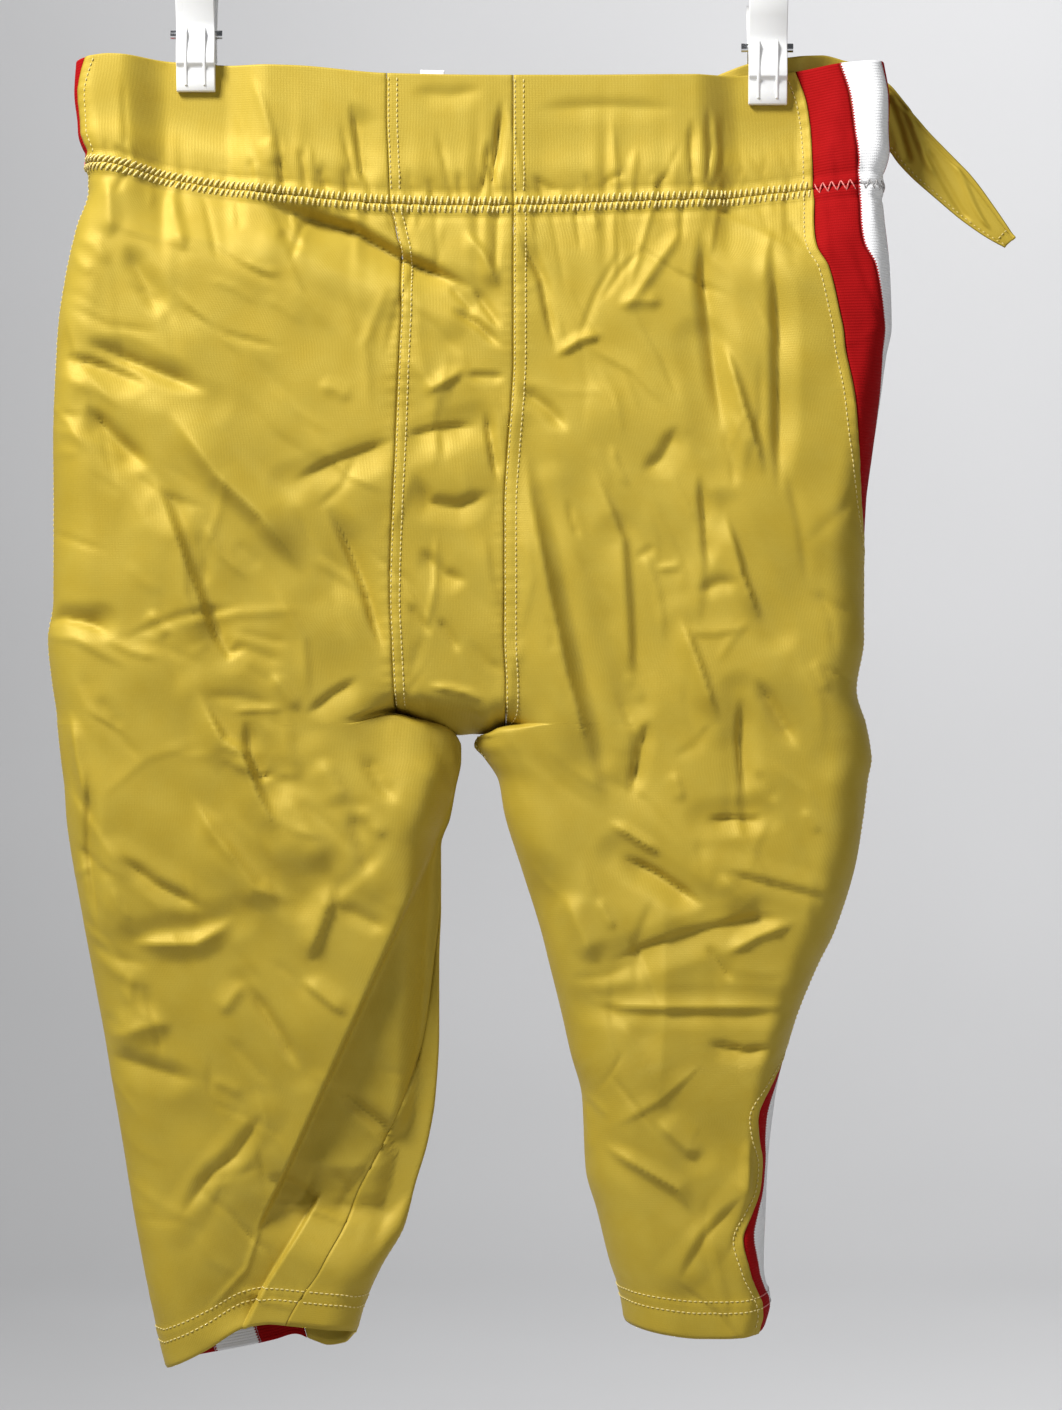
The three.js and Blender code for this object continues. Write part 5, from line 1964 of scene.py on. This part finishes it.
    def centre(self) -> None:
        """Builds the gusset, the fly's flap and the middle of the waistband."""
        work, cloth = self.work, self.cloth
        body = spread(BAND_DEPTH + cloth.seam, CROTCH - CROTCH_TURN, cloth.pitch)[:-1]
        turn = cloth.turn_drops()
        front_end = 2 * CROTCH - GUSSET_FRONT
        climb = spread(CROTCH + CROTCH_TURN, front_end - cloth.seam, cloth.pitch)[1:]
        runs = np.concatenate((body, turn, (2 * CROTCH - turn[:-1])[::-1], climb))
        patch = cloth.centre_patch(runs, self.gusset_columns)
        down, drop = runs[:, None], np.broadcast_to(runs[:, None], patch.shape)
        relief = work.felled(patch.from_start, down, work.gusset_row, 1.0)
        relief = relief + work.plain(patch.from_end, down, 2.0)
        relief = relief + work.waist(drop - BAND_DEPTH, patch.points[..., 0], 4.0)
        self.add("back_gusset", patch, relief, "waistband_back_centre_cloth")
        fly = spread(front_end + cloth.seam, 2 * CROTCH - BAND_DEPTH - cloth.seam, cloth.far_pitch)
        patch = cloth.centre_patch(fly, self.fly_columns)
        down = fly[:, None]
        relief = work.plain(patch.from_start, down, 3.0) + work.plain(patch.from_end, down, 5.0)
        self.add("fly_placket", patch, relief, "waistband_front_centre_cloth")
        drops = cloth.band_drops()
        for part, runs, columns in (("back", drops, self.gusset_columns),
                                    ("front", (2 * CROTCH - drops)[::-1], self.fly_columns)):
            patch = cloth.centre_patch(runs, columns)
            nominal = np.where(runs > CROTCH, 2 * CROTCH - runs, runs)
            drop = np.broadcast_to(nominal[:, None], patch.shape)
            relief = work.plain(patch.from_start, drop, 3.0) + work.plain(patch.from_end, drop, 3.0)
            self.add(f"waistband_{part}_centre", patch, 0.6 * relief + self.band_relief(patch, 2.0, drop),
                     "clip_left_front_jaw", "clip_right_front_jaw", held="gathered")

    def sew(self) -> None:
        """Adds the stitches."""
        gold, lumps = Thread("stitches_gold", 0.36), Thread("stitches_waist", 0.62)
        pink, grey = Thread("stitches_red", 0.38), Thread("stitches_white", 0.3)
        low, high = BAND_DEPTH + 1, HEM - 1
        work, patches = self.work, self.patches
        threads = {1: pink, 2: grey, 3: pink}
        for leg in (LEFT, RIGHT):
            panels = [patches[f"{part}_{leg.word}"] for part in ("back", "front")]
            bands = [patches[f"waistband_{part}_{leg.word}"] for part in ("back", "front")]
            for pair, top, foot in ((panels, low, high), (bands, 2, BAND_DEPTH - 1)):
                for patch, at_end in zip(pair, (True, False)):
                    gold.run_along(patch.rail_down(work.braid_row, at_end, top, foot))
            for away in work.hem_rows:
                for panel in panels:
                    gold.run_along(panel.rail_across(HEM - away))
                for i, thread in threads.items():
                    thread.run_along(patches[f"stripe_{leg.word}_{i}"].rail_across(HEM - away))
        for away in (work.first_row, work.gusset_row):
            gold.run_along(patches["back_gusset"].rail_down(away, False, low, CROTCH - 3))
            for name in ("waistband_back_centre", "waistband_back_right"):
                gold.run_along(patches[name].rail_down(away, False, 2, BAND_DEPTH - 5))
        for away in (work.first_row, work.right_row):
            gold.run_along(patches["back_right"].rail_down(away, False, low, CROTCH + 20))
        for part in ("back_left", "back_centre", "back_right", "front_left", "front_right"):
            lower = patches["back_gusset" if part == "back_centre" else part]
            self.lumps(lumps, patches[f"waistband_{part}"], lower)
        for leg in (LEFT, RIGHT):
            for i, thread in threads.items():
                name = f"stripe_{leg.word}_{i}"
                self.zigzag(thread, patches[f"waist_{name}"], patches[name])
        gold.make(self.palette.gold_thread)
        lumps.make(self.palette.gold_thread)
        pink.make(self.palette.pink_thread)
        grey.make(self.palette.grey_thread)

    def seam_places(self, upper: Patch, pitch: float) -> Array:
        """Places along the waistband's seam at an even pitch.

        Args:
            upper: The patch above the seam.
            pitch: The pitch.

        Returns:
            Shares of the way across the patch.
        """
        run = upper.rail_across(float(upper.drops[-1])).run
        count = max(int(run[-1] / pitch), 2)
        return np.interp(np.arange(count) * pitch + pitch / 2, run, np.linspace(0, 1, len(run)))

    def lumps(self, thread: Thread, upper: Patch, lower: Patch) -> None:
        """Two staggered rows of slanted stitches over the waistband's seam.

        Args:
            thread: The thread.
            upper: The patch above the seam.
            lower: The patch below it.
        """
        shares = self.seam_places(upper, 3.0)
        width = upper.from_end[-1, 0]
        lean, half = 1.1 / width, 1.5 / width
        if lower.points[0, 0, 0] >= lower.points[0, -1, 0]:
            lean = -lean
        rows = ((upper, BAND_DEPTH - 4.6, BAND_DEPTH, 0.0), (lower, BAND_DEPTH, BAND_DEPTH + 4.4, half))
        for patch, top, foot, shift in rows:
            places = np.clip(shares + shift, 0, 1)
            drops = np.ones_like(places)
            start, _ = patch.place(drops * foot, np.clip(places - lean / 2, 0, 1))
            middle, normal = patch.place(drops * (top + foot) / 2, places)
            end, _ = patch.place(drops * top, np.clip(places + lean / 2, 0, 1))
            thread.add(start, middle + normal * 0.2, end, normal)

    def zigzag(self, thread: Thread, upper: Patch, lower: Patch, rise: float = 2.8) -> None:
        """A zigzag of thread over the waistband's seam.

        Args:
            thread: The thread.
            upper: The patch above the seam.
            lower: The patch below it.
            rise: How far it goes on each side of the seam.
        """
        shares = self.seam_places(upper, 2.5)
        high, normal_high = upper.place(np.full(shares.shape, BAND_DEPTH - rise), shares)
        low, normal_low = lower.place(np.full(shares.shape, BAND_DEPTH + rise), shares)
        points = np.where((np.arange(len(shares)) % 2 == 0)[:, None], high, low)
        normals = unit(normal_high + normal_low)[:-1]
        thread.add(points[:-1], (points[:-1] + points[1:]) / 2 + normals * 0.5, points[1:], normals)


# --- Strap and label ---


@dataclass
class Strap:
    """The closing strap of the front waistband, which droops past the right side."""

    cloth: Cloth
    palette: Palette
    lies_from: float = 112.0
    leaves_at: float = 207.0
    settles_from: float = 184.0
    top_rise: float = 9.0
    depth: float = 36.0
    clearance: float = 2.0
    lying_steps: int = 90
    free_steps: int = 60
    end_row: float = 6.0
    edge_row: float = 2.2
    folds: tuple = (
        # share along, share down, share along, share down, height, width
        (0.52, 0.15, 0.64, 0.75, 2.2, 6.0), (0.60, 0.05, 0.72, 0.55, -2.0, 5.0),
        (0.70, 0.35, 0.86, 0.85, 1.8, 5.0), (0.78, 0.10, 0.92, 0.60, -1.6, 4.0),
    )

    def lying(self, shares: Array) -> Array:
        """Points where the strap lies on the front waistband.

        Args:
            shares: Shares down the strap.

        Returns:
            Points, rows down by columns from left to right.
        """
        drops = np.concatenate(([0.0], shares[1:] * self.depth))
        sections = RIGHT.sections(drops)
        start = self.cloth.line(RIGHT, Line.BRAID_END, sections, drops)[:, None]
        end = sections.length[:, None]
        runs = mix(start, end, np.linspace(1, 0, self.lying_steps)[None, :])
        patch = Patch(self.cloth.displaced(RIGHT.points(sections, runs)), drops, runs, runs, 1)
        outer = patch.points + patch.normals * self.clearance
        at = outer[0, :, 0]
        kept = (at > self.lies_from) & (at < self.leaves_at)
        outer, at = outer[:, kept], at[kept]
        rise = self.top_rise * smooth(self.lies_from, self.lies_from + 45, at)
        rise = rise * (1 - 0.7 * smooth(self.settles_from, self.leaves_at, at))
        outer[..., 2] += rise[None, :] * np.clip(1 - shares / 0.25, 0, 1)[:, None]
        return outer[:, np.argsort(at)]

    def free(self, shares: Array) -> Array:
        """Points where the strap hangs free.

        Args:
            shares: Shares down the strap.

        Returns:
            Points, rows down by columns from left to right.
        """
        table = np.array(STRAP_FREE, float)
        keys = np.arange(len(table))
        steps = np.linspace(0, len(table) - 1, self.free_steps)
        edges = []
        for edge in (table[:, 0:3], table[:, 3:6]):
            x, drop, y = (Track(tuple(zip(keys, edge[:, k])), 1)(steps) for k in range(3))
            edges.append(np.stack((x, y + 1.6, -WAIST_DATUM - drop), axis=-1))
        return mix(edges[0][None], edges[1][None], shares[:, None, None])

    def patch(self) -> Patch:
        """The whole strap, from its end under the clip to its free end.

        Returns:
            The patch, with its folds and seams.
        """
        shares = np.concatenate(([0.0, 0.02, 0.06], np.linspace(0.1, 1, 24)))
        points = np.concatenate((self.lying(shares), self.free(shares)), axis=1)
        lengths = np.linalg.norm(np.diff(points, axis=1), axis=2).cumsum(axis=1)
        lengths = np.concatenate((np.zeros((len(shares), 1)), lengths), axis=1)
        span, fall = lengths[0, -1], self.depth
        across = lengths / lengths[:, -1:] * span
        down = np.broadcast_to((shares * fall)[:, None], across.shape)
        height = np.zeros(across.shape)
        for a1, d1, a2, d2, rise_by, width in self.folds:
            height += Fold(a1 * span, d1 * fall, a2 * span, d2 * fall, rise_by, width).at(across, down)
        edge, end = np.minimum(down, fall - down), across[:, -1:] - across
        height += 0.35 * bell(edge - 1.2, 1.0) - 0.8 * np.clip(0.8 - edge, 0, 1)
        height += 0.6 * (1 - smooth(3.2, 4.0, down)) - 1.1 * bell(down - 4.2, 0.8)
        height += 0.4 * (1 - smooth(5, 7, end)) + 0.25 * pucker(across, 2.0) * bell(edge - 4, 4)
        patch = Patch(points, shares * fall, lengths, lengths[:, -1:] - lengths, -1)
        patch.raise_by(-height * smooth(0.35, 0.5, across / span))
        return patch

    def build(self) -> None:
        """Builds the strap with its stitches."""
        patch = self.patch()
        add_sheet(patch, "waist_tab_cloth", "waist_tab", self.palette.gold, "hung",
                  "waistband_front_right_cloth")
        thread = Thread("stitches_strap", 0.34)
        low, high = float(patch.drops[0]), float(patch.drops[-1])
        thread.run_along(patch.rail_across(high - self.edge_row), 1.4, 1.6)
        thread.run_along(patch.rail_down(self.end_row, True, low + 2, high - 2))
        thread.make(self.palette.gold_thread)


@dataclass
class Label:
    """A blank tape sewn inside the back waistband, which peeps over its top edge."""

    palette: Palette
    left: float = -33.0
    right: float = -20.0
    above: float = 2.4
    length: float = 22.0
    behind: float = 2.6
    bow: float = 0.35
    wall: float = 0.35

    def build(self) -> None:
        """Builds the tape."""
        x = np.linspace(self.left, self.right, 14)[None, :]
        down = np.linspace(0, self.length, 24)[:, None]
        drop = WAIST_TOP(x) - self.above + down
        band = np.clip(drop - WAIST_TOP(x), 0, BAND_DEPTH)
        off = LEFT.stand_off(Layer.NEAR, np.broadcast_to(x, band.shape), band)
        bow = self.bow * np.sin((x - self.left) / 3.2) * (1 - smooth(0, 5, down))
        points = np.stack(np.broadcast_arrays(x, self.behind - off + bow, -WAIST_DATUM - drop), axis=-1)
        across = np.broadcast_to(x - self.left, band.shape)
        patch = Patch(points, down[:, 0], across, across[:, -1:] - across, -1)
        add_sheet(patch, "label_tape", "label", self.palette.tape, "hung", "waistband_back_centre_cloth",
                  wall=self.wall)


# --- Hanger ---


@dataclass(frozen=True)
class Clip:
    """One of the hanger's two clips."""

    word: str
    x: float
    pin: float

    @property
    def width(self) -> float:
        """Width of its jaw, from the CAD."""
        low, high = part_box(f"clip_{self.word}_front")
        return (high[0] - low[0]) / MM


@dataclass
class Hanger:
    """The hanger with its two clips."""

    palette: Palette
    clips: tuple = (Clip("left", -CLIP_SPREAD, -121.5), Clip("right", CLIP_SPREAD, -128.5))
    jaw: float = 31.0
    lever: float = 25.0
    pad: float = 2.3
    boss: float = 2.7
    rib_places: tuple = (-0.25, 0.23)
    rib_width: float = 1.5
    rib_height: float = 0.8
    plate_edge: float = 0.9
    rib_edge: float = 0.45
    bar_edge: float = 0.7

    def plate_outline(self) -> tuple:
        """Side outline of a clip's front plate about its pin: how far forward, and height."""
        pad, boss, jaw, lever = self.pad, self.boss, self.jaw, self.lever
        return (
            (pad, -jaw), (pad + 1.0, -jaw - 0.6), (pad + 2.8, -jaw - 0.2), (pad + 3.9, -jaw + 3),
            (pad + 4.4, -24), (pad + 4.8, -18.6), (pad + 6.6, -16.6), (pad + 6.7, -12), (pad + 6.2, -7),
            (boss + 4.8, -2), (boss + 4.7, 2), (boss + 5.4, 6), (boss + 9, 15), (boss + 12.4, lever),
            (boss + 10.2, lever + 0.5), (boss + 6.6, 15), (boss + 2.8, 6), (boss, 2.5), (boss, -2.5),
            (pad + 2.4, -8), (pad + 2.4, -13), (pad, -17),
        )

    def rib_outline(self) -> tuple:
        """Side outline of a rib of that plate."""
        pad, front = self.pad, self.pad + self.rib_height
        low, high = -self.jaw + 1.2, 3.0
        return (
            (pad + 2.6, low + 0.5), (front + 3.6, low + 1.6), (front + 4.6, -20), (front + 6.4, -16),
            (front + 6.4, -8), (front + 6.3, 0), (7.6, high), (pad + 3.4, high - 1), (pad + 3.2, -18),
        )

    def prism(self, name: str, pin: float, outline: tuple, middle: float, width: float,
              edge: float) -> Object:
        """A prism across X.

        Args:
            name: Its name.
            pin: Height of the pin, from which the outline is measured.
            outline: Its outline as (forward, height) in millimetres.
            middle: Where its middle is.
            width: Its width.
            edge: Radius of its edges.

        Returns:
            The prism, with rounded edges.
        """
        mesh = bpy.data.meshes.new(name)
        left = (middle - width / 2) * MM
        corners = [(left, -y * MM, (pin + z) * MM) for y, z in outline]
        mesh.from_pydata(corners, [], [tuple(range(len(corners)))])
        piece = add_object(name, mesh)
        select_only(piece)
        bpy.ops.object.mode_set(mode="EDIT")
        bpy.ops.mesh.select_all(action="SELECT")
        bpy.ops.mesh.extrude_region_move(TRANSFORM_OT_translate={"value": (width * MM, 0, 0)})
        bpy.ops.mesh.select_all(action="SELECT")
        bpy.ops.mesh.normals_make_consistent(inside=False)
        bpy.ops.object.mode_set(mode="OBJECT")
        apply_modifier(piece, add_bevel(piece, edge, 3, 34))
        bpy.ops.object.shade_smooth_by_angle(angle=math.radians(40))
        return piece

    def front_plate(self, clip: Clip) -> None:
        """Builds a clip's front plate with its two ribs.

        Args:
            clip: The clip.
        """
        plate = self.prism(f"clip_{clip.word}_front_jaw", clip.pin, self.plate_outline(), clip.x,
                           clip.width, self.plate_edge)
        ribs = [
            self.prism(f"clip_{clip.word}_rib_{i}", clip.pin, self.rib_outline(),
                       clip.x + place * clip.width, self.rib_width, self.rib_edge)
            for i, place in enumerate(self.rib_places, 1)
        ]
        dress(plate, self.palette.plastic, f"clip_{clip.word}_front")
        for rib in ribs:
            dress(rib, self.palette.plastic)

    def build(self) -> None:
        """Builds the front plates and gives the rest of the hanger its finish and soft edges."""
        plastic, chrome = ["hanger_bar"], ["hanger_hook"]
        for clip in self.clips:
            self.front_plate(clip)
            plastic += [f"clip_{clip.word}_back", f"clip_{clip.word}_loop"]
            chrome.append(f"clip_{clip.word}_pin")
        for names, look in ((plastic, self.palette.plastic), (chrome, self.palette.chrome)):
            for name in names:
                materials = bpy.data.objects[name].data.materials
                materials.clear()
                materials.append(look.material)
        for name in plastic:
            add_bevel(bpy.data.objects[name], self.bar_edge, 2, 40)
        LOG.info("hanger finished")


# --- Studio ---


@dataclass(frozen=True)
class Lamp:
    """A soft square light, pointed at a place."""

    name: str
    place: tuple[float, float, float]
    target: tuple[float, float, float]
    size: float
    power: float

    def build(self) -> None:
        """Adds the light."""
        data = bpy.data.lights.new(self.name, "AREA")
        data.shape, data.size, data.energy = "SQUARE", self.size, self.power
        lamp = add_object(self.name, data)
        x, y, z = np.array(self.target) - np.array(self.place)
        lamp.location = self.place
        lamp.rotation_euler = (math.atan2(math.hypot(x, y), -z), 0, -math.atan2(x, y))


@dataclass
class Studio:
    """The pale sweep, the lights and the camera."""

    palette: Palette
    floor: float = -1.35
    wall: float = 4.6
    bend: float = 1.4
    half_width: float = 6.5
    front: float = -6.0
    height: float = 5.0
    lamps: tuple = (
        Lamp("key", (-1.0, -0.95, 1.05), (0.0, 0.0, -0.3), 0.55, 73.5),
        Lamp("fill", (1.7, -1.6, 0.1), (0.0, 0.0, -0.4), 1.2, 12.5),
        Lamp("back", (0.9, 1.2, 1.6), (0.6, 4.6, 0.55), 2.4, 97.0),
    )
    sky: tuple = (0.93, 0.96, 1.0, 1)
    sky_strength: float = 0.08
    camera_place: tuple[float, float, float] = (0.0265, -1.8, -0.4833)
    lens: float = 85.1
    sensor: float = 36.0

    def sweep(self) -> None:
        """Builds the floor that bends up into the wall."""
        angles = np.linspace(0, math.pi / 2, 20)
        curve_y = self.wall - self.bend + self.bend * np.sin(angles)
        curve_z = self.floor + self.bend * (1 - np.cos(angles))
        y = np.concatenate(([self.front], curve_y, [self.wall]))
        z = np.concatenate(([self.floor], curve_z, [self.height]))
        rows = np.stack((np.full(len(y), -self.half_width), y, z), axis=-1)
        points = np.stack((rows, rows * np.array((-1, 1, 1))), axis=1).reshape(-1, 3) / MM
        piece = link_mesh("backdrop", points, grid_faces(len(y), 2, -1))
        piece.data.materials.append(self.palette.paper)

    def build(self) -> None:
        """Builds the sweep, lights, world and camera."""
        self.sweep()
        for lamp in self.lamps:
            lamp.build()
        scene = bpy.context.scene
        scene.world = bpy.data.worlds.new("studio")
        scene.world.use_nodes = True
        background = scene.world.node_tree.nodes["Background"].inputs
        background[0].default_value = self.sky
        background[1].default_value = self.sky_strength
        data = bpy.data.cameras.new("camera")
        data.lens, data.sensor_width = self.lens, self.sensor
        scene.camera = add_object("camera", data)
        scene.camera.location = self.camera_place
        scene.camera.rotation_euler = (math.pi / 2, 0, 0)
        scene.view_settings.view_transform = "Standard"


def main() -> None:
    """Builds the scene in order."""
    logging.basicConfig(level=logging.INFO, format="%(message)s")
    palette = Palette()
    cloth = Cloth(Relief())
    Pants(cloth, palette).build()
    Strap(cloth, palette).build()
    Label(palette).build()
    Hanger(palette).build()
    Studio(palette).build()


if __name__ == "__main__":
    main()
